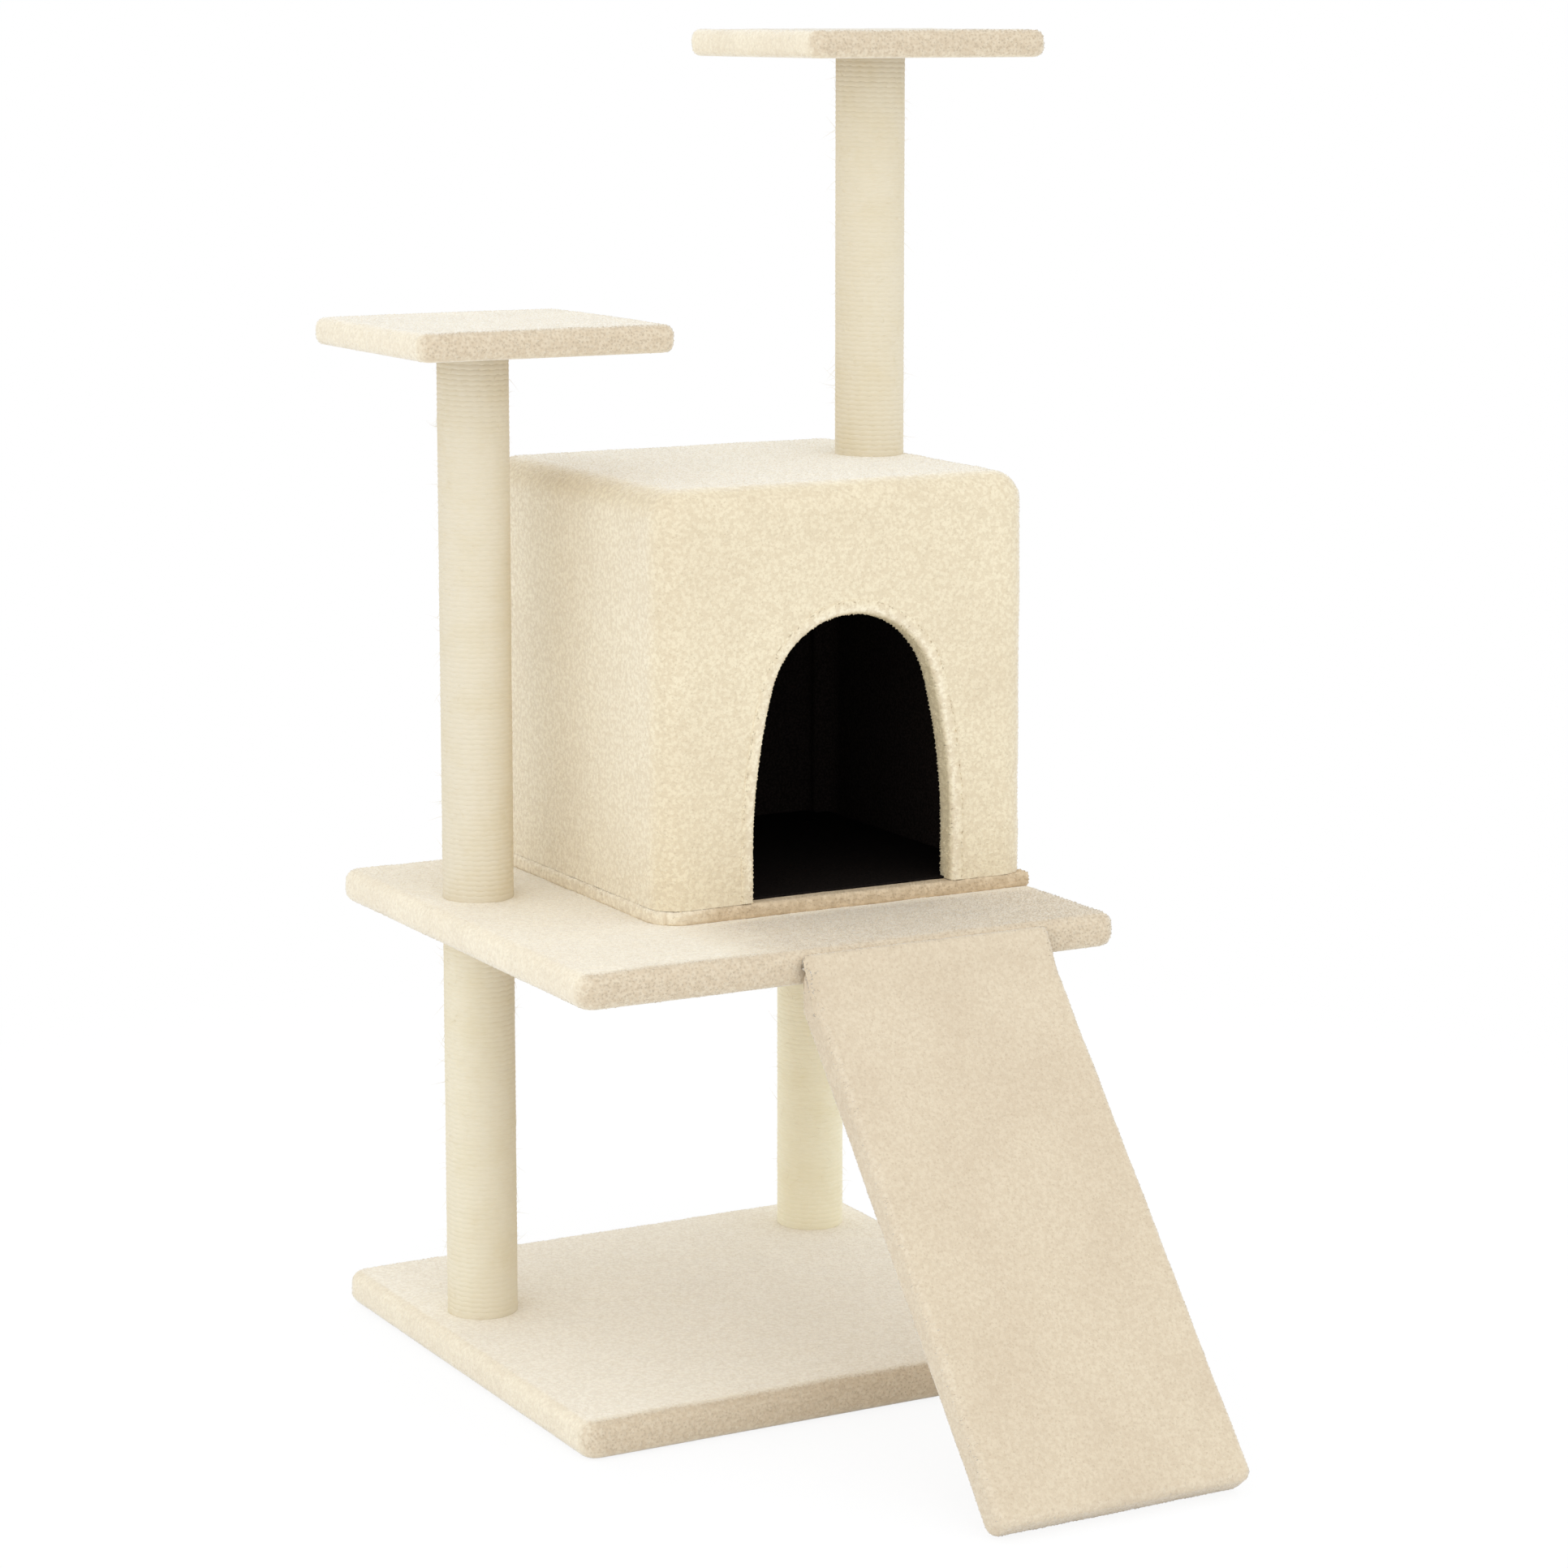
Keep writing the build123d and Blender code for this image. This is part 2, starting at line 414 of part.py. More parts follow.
# Butt hinges: the shelf's leaf carries the outer knuckles and the pin, the ramp's leaf the middle one
shelf_leaves = []
ramp_leaves = []
pins = []
shelf_screws = []
ramp_screws = []
leaf_z0 = HINGE_Z - LEAF_H
notch_r = BARREL_D / 2 + LEAF_NOTCH
panel_end_z = HINGE_Z - (RAMP_TOP_DROP + PLUSH + RAMP_T / 2) / math.cos(SLOPE)
panel_end_z = panel_end_z - (HINGE_Y - HEAD_Y) * math.tan(SLOPE)
shelf_screw_heights = (SHELF_BOTTOM + PLUSH + BOARD_T / 2, SHELF_BOTTOM - CLEAT_CORE_Z / 2)
for mid in (RAMP_MID - HINGE_SPREAD / 2, RAMP_MID + HINGE_SPREAD / 2):
    x0 = mid - HINGE_W / 2
    x1 = mid + HINGE_W / 2
    inner0 = x0 + KNUCKLE_W
    inner1 = x1 - KNUCKLE_W
    shelf_leaf = block(x0, x1, FRONT - LEAF_T, FRONT, leaf_z0, HINGE_Z)
    shelf_leaf = shelf_leaf + rod_x(x0, x1, HINGE_Y, HINGE_Z, BARREL_D)
    shelf_leaf = shelf_leaf - rod_x(inner0, inner1, HINGE_Y, HINGE_Z, 2 * notch_r)
    ramp_leaf = block(x0, x1, HEAD_Y, HEAD_Y + LEAF_T, leaf_z0, HINGE_Z)
    ramp_leaf = ramp_leaf + rod_x(x0, x1, HINGE_Y, HINGE_Z, BARREL_D)
    for end0, end1 in ((x0, inner0 + KNUCKLE_GAP), (inner1 - KNUCKLE_GAP, x1)):
        ramp_leaf = ramp_leaf - rod_x(end0, end1, HINGE_Y, HINGE_Z, 2 * notch_r)
    shelf_leaf = shelf_leaf - rod_x(x0, x1, HINGE_Y, HINGE_Z, PIN_D)
    ramp_leaf = ramp_leaf - rod_x(x0, x1, HINGE_Y, HINGE_Z, PIN_D + 2 * PIN_RUNNING)
    pin = rod_x(x0, x1, HINGE_Y, HINGE_Z, PIN_D)
    pin = pin + rod_x(x0 - PIN_HEAD_T, x0, HINGE_Y, HINGE_Z, PIN_HEAD_D)
    pins.append(pin + rod_x(x1, x1 + PIN_HEAD_T, HINGE_Y, HINGE_Z, PIN_HEAD_D))
    for x in (mid - HINGE_SCREW_SPREAD / 2, mid + HINGE_SCREW_SPREAD / 2):
        for z in shelf_screw_heights:
            piece = Pos(x, FRONT - LEAF_T, z) * Rot(-90, 0, 0) * screw(HINGE_SCREW_L)
            shelf_screws.append(piece)
            shelf_leaf = shelf_leaf - piece
            shelf_panel = shelf_panel - piece
            shelf_cover = shelf_cover - piece
            core = core - piece
            wrap = wrap - piece
        piece = Pos(x, HEAD_Y + LEAF_T, panel_end_z) * Rot(90, 0, 0) * screw(RAMP_SCREW_L)
        ramp_screws.append(piece)
        ramp_leaf = ramp_leaf - piece
        ramp_panel = ramp_panel - piece
        ramp_cover = ramp_cover - piece
    shelf_leaves.append(shelf_leaf)
    ramp_leaves.append(ramp_leaf)
nodes["hinge_shelf_leaves"] = group(shelf_leaves)
nodes["hinge_ramp_leaves"] = group(ramp_leaves)
nodes["hinge_pins"] = group(pins)
nodes["hinge_shelf_screws"] = group(shelf_screws)
nodes["hinge_ramp_screws"] = group(ramp_screws)
nodes["shelf_panel"] = shelf_panel
nodes["shelf_cover"] = shelf_cover
nodes["cleat_core"] = core
nodes["cleat_cover"] = wrap
nodes["ramp_panel"] = ramp_panel
nodes["ramp_cover"] = ramp_cover

print("ramp slope in degrees:", round(math.degrees(SLOPE), 2))
print("hinge line at y, z:", round(HINGE_Y, 3), round(HINGE_Z, 3), "ramp middle x:", round(RAMP_MID, 3))
print("overall height:", round(TOP_PERCH_BOTTOM + PERCH_COVERED_T, 2))

os.makedirs("parts", exist_ok=True)
for name, piece in nodes.items():
    export_step(piece, os.path.join("parts", name + ".step"))
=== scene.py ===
"""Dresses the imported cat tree: plush on its boards and house, rope on its posts, and finishes inside."""

import json
import math

import bmesh
import bpy
import numpy as np
from mathutils import Matrix, Vector


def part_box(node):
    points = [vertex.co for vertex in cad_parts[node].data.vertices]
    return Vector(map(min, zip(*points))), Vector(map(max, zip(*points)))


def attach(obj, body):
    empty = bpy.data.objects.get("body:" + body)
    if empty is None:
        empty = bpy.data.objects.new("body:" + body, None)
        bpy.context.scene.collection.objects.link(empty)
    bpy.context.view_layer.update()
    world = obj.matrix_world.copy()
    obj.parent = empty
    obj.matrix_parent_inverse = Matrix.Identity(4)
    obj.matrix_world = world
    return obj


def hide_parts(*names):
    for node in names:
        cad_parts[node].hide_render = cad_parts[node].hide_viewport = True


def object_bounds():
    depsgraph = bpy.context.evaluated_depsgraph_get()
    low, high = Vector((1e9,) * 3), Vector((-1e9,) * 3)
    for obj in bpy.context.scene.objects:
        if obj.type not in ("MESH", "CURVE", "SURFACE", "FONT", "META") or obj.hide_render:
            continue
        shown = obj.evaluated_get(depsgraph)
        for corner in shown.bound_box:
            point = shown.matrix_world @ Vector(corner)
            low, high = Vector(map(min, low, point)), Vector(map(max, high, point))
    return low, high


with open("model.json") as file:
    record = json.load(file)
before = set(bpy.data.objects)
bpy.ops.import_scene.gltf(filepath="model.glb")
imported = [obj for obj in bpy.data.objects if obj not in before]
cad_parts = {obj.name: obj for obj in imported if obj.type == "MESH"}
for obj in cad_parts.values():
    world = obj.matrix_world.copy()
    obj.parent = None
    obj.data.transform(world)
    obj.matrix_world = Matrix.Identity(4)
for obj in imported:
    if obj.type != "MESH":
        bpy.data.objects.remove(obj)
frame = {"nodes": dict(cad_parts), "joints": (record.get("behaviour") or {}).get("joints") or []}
cad_low, cad_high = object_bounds()

bl_info = {
    "name": "Cat Tree Dresser",
    "version": (1, 0, 0),
    "blender": (4, 5, 0),
    "location": "View3D > Sidebar > Cat Tree",
    "description": "Dresses a cat tree with plush, sisal rope, lining and board finishes",
    "category": "Object",
}

BOARDS = ("base", "shelf", "left_perch", "top_perch")
POSTS = ("lower_left_post", "lower_right_post", "upper_left_post", "top_post")
# Each post's copy of the sisal colour, lighter or darker as painted light; the lower right post, in the
# shelf's shade, is lightened most.
ROPE_PAINTED_LIGHT = {"lower_left_post": (1.03, 1.03, 1.03), "lower_right_post": (1.20, 1.24, 1.24),
              "upper_left_post": (0.965, 0.955, 0.965), "top_post": (0.96, 0.95, 0.95)}
FIBRE_TONE = (1.06, 1.06, 1.06)
RAMP_TONE = (0.812, 0.768, 0.73)
HOUSE_TONE = (0.95, 0.935, 0.88)
HOUSE_DEPTH = 0.42        # how far the house's pile opens to its roots
SLIM_ROUND = 0.8          # a perch's radii, as a share of the base's
RAMP_ROUND = 0.62         # the ramp's radii, as a share of the base's
RAMP_SIDE_LIGHT = 0.07         # how much the ramp's sides are lightened as painted light
FLAP_CORNER = 0.85        # the corner radius of the tongue over the hinges, as a share of the ramp's edge
# How much each board's top is lightened as painted light; the base, shaded by the shelf above it, the most.
BOARD_TOP_LIGHT = {"base": 0.40, "shelf": 0.20, "left_perch": 0.20, "top_perch": 0.20}
# How far in from the front the front edge's painted shade and the top's painted light reach.
FRONT_SHADE_RIM, TOP_LIGHT_RIM = 0.016, 0.012
MOST_EDGE = 0.47          # largest radius of a long edge, as a share of the board's thickness
WELD = 0.00002
BASE_CLEAR = 0.0004       # the base's cloth above the floor
BASE_PILE_FOOT = 0.0075   # no pile below this height, where the base meets the floor
# Painted shade on the shelf top before the house, where the house shades it: how it fades in, its strength
# and its offset.
HOUSE_SHADE_FADE_Y, HOUSE_SHADE_FADE_X = 0.02, 0.08
HOUSE_SHADE_MARK, SHADE_OFFSET = 0.90, 0.2
TOP_BAND = 0.002          # points this near a face count as on it
# The first two lighten the house's roof and side walls as painted light; the third opens the pile on its
# rolled edges.
HOUSE_ROOF_LIGHT, HOUSE_SIDE_LIGHT, EDGE_OPENED = 0.45, 0.20, 0.06
PILE_NUBS = 0.55          # depth of the nubs against the curls
PILE_ROOTS = (0.35, 0.15)
PILE_CLOUDS = (0.40, 0.70, 0.0, 0.35)
STRAND_ALONG, STRAND_AROUND, STRAND_SHARE = 140.0, 26.0, 0.55
STRAND_STREAKS = (0.35, 0.70)
BALE_SIZE, BALES = 0.035, (0.45, 0.75, 0.0, 0.35)
STEEL_DULL = (0.3, 0.7, 0.28, 0.48)
TUFT_LEAN = 0.03
TUFT_CROWD = 1.4          # most tufts on a square of the least distance
TUFT_SINK = -0.56         # of its height, so that a tuft's root stays under the cloth
TUFT_SIZES = (0.75, 1.25)
TUFT_RAISE = 1.5
MEAN_TUFT = 0.5           # what a cloth has in place of a tuft's own shade
ROPE_SIDES = 10
ROPE_MORE_TURNS, ROPE_SETTLE = 0.75, 0.375
ROPE_SLACK, SLACK_SIZE = 0.014, 0.03
ROPE_OVER = 0.0022        # the rope past the ends of its solid
FIBRE_BOW = 0.5
FIBRE_SIZES = (0.4, 1.2)
FIBRE_TILTS = ((0.9, -0.5, 0.0), (1.45, 0.5, math.tau))
SENSOR = 36.0
LAMP_DISTANCE = 4.0
FLOOR_REACH, FLOOR_Z = 30.0, -0.0005


def metres(name, description, default):
    """A setting in metres."""
    return bpy.props.FloatProperty(name=name, description=description, default=default, unit="LENGTH")


def tint(name, description, default):
    """A setting for a colour."""
    return bpy.props.FloatVectorProperty(name=name, description=description, subtype="COLOR", size=3,
                                         default=default, min=0, max=1)


def light_of(name, description, default):
    """A setting for the red, green and blue of a light."""
    return bpy.props.FloatVectorProperty(name=name, description=description, size=3, default=default)


class PlushSettings(bpy.types.PropertyGroup):
    """The plush that covers the boards, the ramp and the house."""

    light: tint("Pile tips", "Colour of the pile's tips", (0.91, 0.825, 0.65))
    deep: tint("Pile roots", "Colour between the tufts", (0.645, 0.53, 0.385))
    # The nap's colour is also the warm painted shade of front edges and of the shelf before the house.
    warm: tint("Nap shade", "Colour where the nap lies the other way", (0.74, 0.635, 0.485))
    # Painted light: tops and side edges are mixed toward this paler colour to stand in for light falling on
    # them.
    painted_light: tint("Brushed top", "Colour where the pile lies flat on top of a board", (0.96, 0.895, 0.765))
    mesh_step: metres("Mesh step", "Spacing of the cloth's points", 0.004)
    inset: metres("Backing inset", "Tips of the pile to the cloth they grow from", 0.0016)
    plan_round: metres("Corner radius", "Corners of a covered board seen from above", 0.020)
    edge_round: metres("Edge radius", "Long edges of a covered board", 0.0136)
    fold_under: metres("Fold under", "Width of cloth turned under a board", 0.055)
    lump_size: metres("Lump size", "Width of the soft swells in the cloth", 0.05)
    lump_height: metres("Lump height", "Height of the soft swells in the cloth", 0.0010)
    grain_size: metres("Grain size", "Width of the nubs of the pile", 0.0095)
    grain_height: metres("Grain height", "Height of the nubs of the pile", 0.0005)
    tuft_spacing: metres("Tuft spacing", "Least distance between tufts", 0.0027)
    tuft_height: metres("Tuft height", "Length of a tuft of pile", 0.0012)
    tuft_width: metres("Tuft width", "Radius of a tuft at its root", 0.0032)


class SisalSettings(bpy.types.PropertyGroup):
    """The sisal rope wound round the posts."""

    rope: metres("Rope diameter", "Diameter of the sisal rope", 0.005)
    pale: tint("Pale fibre", "Colour of the palest fibres", (0.755, 0.685, 0.535))
    straw: tint("Straw fibre", "Colour of the darker fibres", (0.70, 0.61, 0.42))
    points_per_turn: bpy.props.IntProperty(
        name="Points a turn", description="Points of the rope's line in one turn", default=60)
    fibres: bpy.props.FloatProperty(
        name="Stray fibres", description="Loose fibres on a square metre of rope", default=2600.0)


class HouseSettings(bpy.types.PropertyGroup):
    """The house's doorway and its inside."""

    edge_round: metres("Edge radius", "Outer edges of the house's plush", 0.031)
    door_round: metres("Doorway roll", "Radius of the plush turned into the doorway", 0.005)
    door_hem: metres("Doorway hem", "Width of the hem on the front", 0.0125)
    door_spring: metres("Jamb height", "Straight part of the doorway's jambs", 0.048)
    door_shoulder: metres("Shoulder", "Half the doorway's width less its crown's radius", 0.018)
    trim: metres("Trim", "Thickness of the doorway's trim", 0.006)
    # Warm tan given to the plush turned into the doorway, as painted shade of the reveal.
    reveal: tint("Doorway reveal", "Colour of the plush turned into the doorway", (0.94, 0.82, 0.565))
    # Near-black painted shade for the inside of the house: the lining in this colour, the mat darker still.
    lining: tint("Lining", "Colour of the dark lining", (0.031, 0.023, 0.0195))
    carpet: tint("Floor carpet", "Colour of the floor plate's carpet", (0.745, 0.60, 0.42))


class StageSettings(bpy.types.PropertyGroup):
    """Camera, floor and lights."""

    lens: bpy.props.FloatProperty(
        name="Lens", description="Focal length on a 36 mm sensor, in millimetres", default=96.042)
    shift: bpy.props.FloatProperty(
        name="Lens rise", description="Vertical lens shift", default=-0.10)
    stand: bpy.props.FloatVectorProperty(
        name="Camera place", description="Where the camera stands", subtype="TRANSLATION", size=3,
        default=(-1.89563, -3.59308, 1.32), unit="LENGTH")
    yaw: bpy.props.FloatProperty(
        name="Yaw", description="Camera's turn to the right", subtype="ANGLE", default=math.radians(28.7219))
    pitch: bpy.props.FloatProperty(
        name="Pitch", description="Camera's tilt upwards", subtype="ANGLE", default=math.radians(-8.4213))
    zenith: light_of("Light from above", "Dome's light overhead", (1.12, 1.16, 1.20))
    horizon: light_of("Light from all round", "Dome's light near the horizon", (1.08, 1.11, 1.14))
    key: light_of("Key light", "Power of the lamp high on the left", (9.0, 9.0, 9.0))
    fill: light_of("Fill light", "Power of the lamp in front", (14.0, 14.0, 14.0))
    side: light_of("Side light", "Power of the lamp low on the left", (9.0, 9.0, 9.0))
    floor: tint("Floor", "Colour of the floor", (0.92, 0.92, 0.92))


COLOUR, FLOAT, VECTOR = "NodeSocketColor", "NodeSocketFloat", "NodeSocketVector"
GEOMETRY, MATERIAL, INTEGER = "NodeSocketGeometry", "NodeSocketMaterial", "NodeSocketInt"
COLOUR_AND_HEIGHT = ((COLOUR, "Color"), (FLOAT, "Height"))
PLAIN = (1.0, 1.0, 1.0)


def put(tree, kind, values=None, **settings):
    """Adds a node, sets it up, feeds its inputs with numbers or other nodes, and returns its outputs."""
    node = tree.nodes.new(kind)
    for key, value in settings.items():
        setattr(node, key, value)
    for key, value in (values or {}).items():
        if isinstance(value, bpy.types.NodeSocket):
            tree.links.new(value, node.inputs[key])
        else:
            node.inputs[key].default_value = value
    return node.outputs


def sums(tree, operation, first, second=0.0, third=0.0):
    """The result of a Math node."""
    return put(tree, "ShaderNodeMath", {0: first, 1: second, 2: third}, operation=operation)[0]


def times(tree, first, second):
    """One value times another."""
    return sums(tree, "MULTIPLY", first, second)


def mixed(tree, share, first, second):
    """The result of mixing two colours."""
    return put(tree, "ShaderNodeMix", {0: share, 6: first, 7: second}, data_type="RGBA")[2]


def ramp_of(tree, value, low, high, to_low=0.0, to_high=1.0):
    """A value stretched from one range to another, and kept in it."""
    values = {"Value": value, "From Min": low, "From Max": high, "To Min": to_low, "To Max": to_high}
    return put(tree, "ShaderNodeMapRange", values)[0]


def vector_of(tree, x, y, z=0.0):
    """Three values as one vector."""
    return put(tree, "ShaderNodeCombineXYZ", {0: x, 1: y, 2: z})[0]


def grown_by(tree, vector, share):
    """A vector made longer or shorter."""
    return put(tree, "ShaderNodeVectorMath", {0: vector, "Scale": share}, operation="SCALE")[0]


def scaled(tree, vector, size):
    """Coordinates in units of a size in metres."""
    return grown_by(tree, vector, sums(tree, "DIVIDE", 1.0, size))


def noise(tree, vector, detail, roughness=0.5, distortion=0.0, scale=1.0, seed=None):
    """Soft noise over the coordinates, and another one for each seed."""
    values = {"Vector": vector, "Scale": scale, "Detail": detail, "Roughness": roughness,
              "Distortion": distortion}
    if seed is None:
        return put(tree, "ShaderNodeTexNoise", values)[0]
    return put(tree, "ShaderNodeTexNoise", {"W": seed, **values}, noise_dimensions="4D")[0]


def mark(tree, name):
    """A value that a cloth or a rope keeps at each point, read in a geometry tree or in a material."""
    if tree.bl_idname == "GeometryNodeTree":
        return put(tree, "GeometryNodeInputNamedAttribute", {"Name": name}, data_type="FLOAT")[0]
    return put(tree, "ShaderNodeAttribute", attribute_name=name)["Fac"]


def shared(kind, name, takes, gives):
    """Makes a function that fills a node group into one that builds it once and finds it afterwards."""

    def wrapped(fill):
        def group():
            if name in bpy.data.node_groups:
                return bpy.data.node_groups[name]
            tree = bpy.data.node_groups.new(name, kind)
            for way, rows in (("INPUT", takes), ("OUTPUT", gives)):
                for socket, *labels in rows:
                    for label in labels:
                        tree.interface.new_socket(label, in_out=way, socket_type=socket)
            take = {socket.name: socket for socket in put(tree, "NodeGroupInput")}
            put(tree, "NodeGroupOutput", dict(enumerate(fill(tree, take))))
            return tree

        return group

    return wrapped


@shared("ShaderNodeTree", "Pile grain", ((VECTOR, "Vector"), (FLOAT, "Grain", "Cloud", "Depth", "Bend"),
                                         (COLOUR, "Light", "Deep", "Warm", "Brushed")), COLOUR_AND_HEIGHT)
def pile_grain(tree, take):
    """Shader group: tips, roots and nap of short curly pile, with the painted light and painted shade that
    its mark asks for.
    """
    near = scaled(tree, take["Vector"], take["Grain"])
    curls = noise(tree, near, 3.0, 0.6, 0.8)
    nubs = put(tree, "ShaderNodeTexVoronoi", {"Vector": near, "Scale": 0.8, "Smoothness": 0.6},
               feature="SMOOTH_F1")
    cloud = noise(tree, scaled(tree, take["Vector"], take["Cloud"]), 2.0)
    height = sums(tree, "SUBTRACT", curls, times(tree, nubs[0], PILE_NUBS))
    root = ramp_of(tree, height, *PILE_ROOTS)
    # Roots show more where the mark is above zero, for opened pile and as painted shade.
    opened_and_shade = sums(tree, "MULTIPLY_ADD", sums(tree, "MAXIMUM", take["Bend"], 0.0), 0.80, take["Depth"])
    nap = mixed(tree, ramp_of(tree, cloud, *PILE_CLOUDS), take["Light"], take["Warm"])
    # Below zero the mark mixes toward the pale painted-light colour, above zero toward the warm painted
    # shade.
    flat = mixed(tree, times(tree, take["Bend"], -2.0), nap, take["Brushed"])
    opened_warm_shade = mixed(tree, times(tree, take["Bend"], 0.9), flat, take["Warm"])
    return mixed(tree, times(tree, root, opened_and_shade), opened_warm_shade, take["Deep"]), height


@shared("ShaderNodeTree", "Strand fibres",
        ((FLOAT, "Along", "Around"), (VECTOR, "Vector"), (COLOUR, "Pale", "Straw")), COLOUR_AND_HEIGHT)
def strand_fibres(tree, take):
    """Shader group: pale and straw-coloured fibres that run along a twisted strand."""
    lay = vector_of(tree, times(tree, take["Along"], STRAND_ALONG),
                    times(tree, take["Around"], STRAND_AROUND))
    streak = noise(tree, lay, 3.0, 0.65)
    bale = noise(tree, scaled(tree, take["Vector"], BALE_SIZE), 2.0)
    streaks = ramp_of(tree, streak, *STRAND_STREAKS)
    share = sums(tree, "MULTIPLY_ADD", streaks, STRAND_SHARE, ramp_of(tree, bale, *BALES))
    return mixed(tree, share, take["Pale"], take["Straw"]), streak


@shared("ShaderNodeTree", "Wood grain",
        ((VECTOR, "Vector"), (COLOUR, "Light", "Dark"), (FLOAT, "Chip", "Chips")), COLOUR_AND_HEIGHT)
def wood_grain(tree, take):
    """Shader group: long grain with pressed chips."""
    near = scaled(tree, take["Vector"], take["Chip"])
    chips = put(tree, "ShaderNodeTexVoronoi", {"Vector": near, "Scale": 1.0, "Randomness": 1.0})
    long_way = put(tree, "ShaderNodeMapping", {"Vector": near, "Scale": (0.08, 1.0, 1.0)})[0]
    rings = noise(tree, long_way, 4.0, distortion=0.6, scale=0.7)
    chip_tone = put(tree, "ShaderNodeSeparateColor", {0: chips["Color"]})[0]
    blend = put(tree, "ShaderNodeMix", {0: take["Chips"], 2: rings, 3: chip_tone}, data_type="FLOAT")[0]
    return mixed(tree, blend, take["Light"], take["Dark"]), blend


@shared("ShaderNodeTree", "Metal wear", ((VECTOR, "Vector"), (COLOUR, "Bright", "Dull"), (FLOAT, "Patch")),
        ((COLOUR, "Color"), (FLOAT, "Roughness", "Height")))
def metal_wear(tree, take):
    """Shader group: fine scratches and dull patches on plated steel."""
    near = scaled(tree, take["Vector"], take["Patch"])
    patch = noise(tree, near, 3.0)
    drawn = put(tree, "ShaderNodeMapping", {"Vector": near, "Scale": (9.0, 1.0, 9.0)})[0]
    dull = ramp_of(tree, patch, *STEEL_DULL)
    return mixed(tree, patch, take["Bright"], take["Dull"]), dull, noise(tree, drawn, 2.0, scale=1.5)


def new_material(name):
    """A material with an empty tree, and its object coordinates."""
    material = bpy.data.materials.new(name)
    material.use_nodes = True
    tree = material.node_tree
    tree.nodes.clear()
    return material, tree, put(tree, "ShaderNodeTexCoord")["Object"]


def surfaced(tree, height, strength, distance, values):
    """Ends a material with its shader, the shader's values and a bump from a height."""
    bump = put(tree, "ShaderNodeBump", {"Height": height, "Strength": strength, "Distance": distance})[0]
    shader = put(tree, "ShaderNodeBsdfPrincipled", {**values, "Normal": bump})[0]
    put(tree, "ShaderNodeOutputMaterial", {0: shader})


def rgba(colour, tone=PLAIN):
    """A colour with its alpha, made lighter or darker."""
    return tuple(min(1.0, part * share) for part, share in zip(colour, tone)) + (1.0,)


def plush_finish(name, tone=PLAIN, depth=0.28, tufts=False):
    """Cream plush: curly grain, cloudy nap, opened pile and painted shade on front edges, painted light on
    tops and side edges, and a soft sheen.
    """
    plush = bpy.context.scene.cat_tree_plush
    material, tree, place = new_material(name)
    bend = mark(tree, "bend")
    deep = rgba(plush.deep, tone)
    values = {"Vector": place, "Grain": 0.0036, "Cloud": 0.085, "Depth": depth, "Bend": bend,
              "Light": rgba(plush.light, tone), "Deep": deep, "Warm": rgba(plush.warm, tone),
              "Brushed": rgba(plush.painted_light, [(1 + part) / 2 for part in tone])}
    grain = put(tree, "ShaderNodeGroup", values, node_tree=pile_grain())
    own = mark(tree, "tuft") if tufts else MEAN_TUFT
    # Above zero the mark also mixes in the root colour as painted shade; below zero it mixes in less.
    share = times(tree, own, sums(tree, "MULTIPLY_ADD", bend, 0.6, 0.4))
    surfaced(tree, grain["Height"], 0.45, 0.0012,
             {"Base Color": mixed(tree, share, grain["Color"], deep), "Roughness": 0.95,
              "Specular IOR Level": 0.12, "Sheen Weight": 1.0, "Sheen Roughness": 0.33,
              "Sheen Tint": (1.0, 0.985, 0.955, 1.0)})
    return material


def two_tone_finish(name, tone, second, tufts=False):
    """Plush that turns into a second colour where it is marked, such as the floor plate's tan front."""
    plush = bpy.context.scene.cat_tree_plush
    material, tree, place = new_material(name)
    turned = mark(tree, "bend")
    light = mixed(tree, turned, rgba(plush.light, tone), rgba(second))
    deep = mixed(tree, turned, rgba(plush.deep, tone), rgba(second, (0.66, 0.62, 0.56)))
    own = mark(tree, "tuft") if tufts else MEAN_TUFT
    light = mixed(tree, times(tree, own, 0.4), light, deep)
    values = {"Vector": place, "Grain": 0.0045, "Cloud": 0.05, "Depth": 0.5,
              "Bend": sums(tree, "MINIMUM", turned, 0.0), "Light": light, "Deep": deep, "Warm": light,
              "Brushed": rgba(plush.painted_light, tone)}
    grain = put(tree, "ShaderNodeGroup", values, node_tree=pile_grain())
    surfaced(tree, grain["Height"], 0.3, 0.0008,
             {"Base Color": grain["Color"], "Roughness": 0.95, "Specular IOR Level": 0.1})
    return material


def sisal_finish(name, tone):
    """Dry sisal: matt, with pale and straw fibres along each strand."""
    sisal = bpy.context.scene.cat_tree_sisal
    material, tree, place = new_material(name)
    values = {"Along": mark(tree, "along"), "Around": mark(tree, "around"), "Vector": place,
              "Pale": rgba(sisal.pale, tone), "Straw": rgba(sisal.straw, tone)}
    fibres = put(tree, "ShaderNodeGroup", values, node_tree=strand_fibres())
    surfaced(tree, fibres["Height"], 0.5, 0.0004,
             {"Base Color": fibres["Color"], "Roughness": 0.82, "Specular IOR Level": 0.25})
    return material


def cloth_finish(name, colour):
    """Dark flat felted cloth."""
    material, tree, place = new_material(name)
    values = {"Vector": place, "Grain": 0.002, "Cloud": 0.06, "Depth": 0.8, "Bend": 0.0,
              "Light": rgba(colour), "Deep": rgba(darker(colour)), "Warm": rgba(colour, (0.85, 0.85, 0.85))}
    grain = put(tree, "ShaderNodeGroup", values, node_tree=pile_grain())
    surfaced(tree, grain["Height"], 0.4, 0.0006,
             {"Base Color": grain["Color"], "Roughness": 0.9, "Specular IOR Level": 0.05})
    return material


def darker(colour):
    """The colour in the depth of a dark cloth."""
    return tuple(part * 0.4 for part in colour)


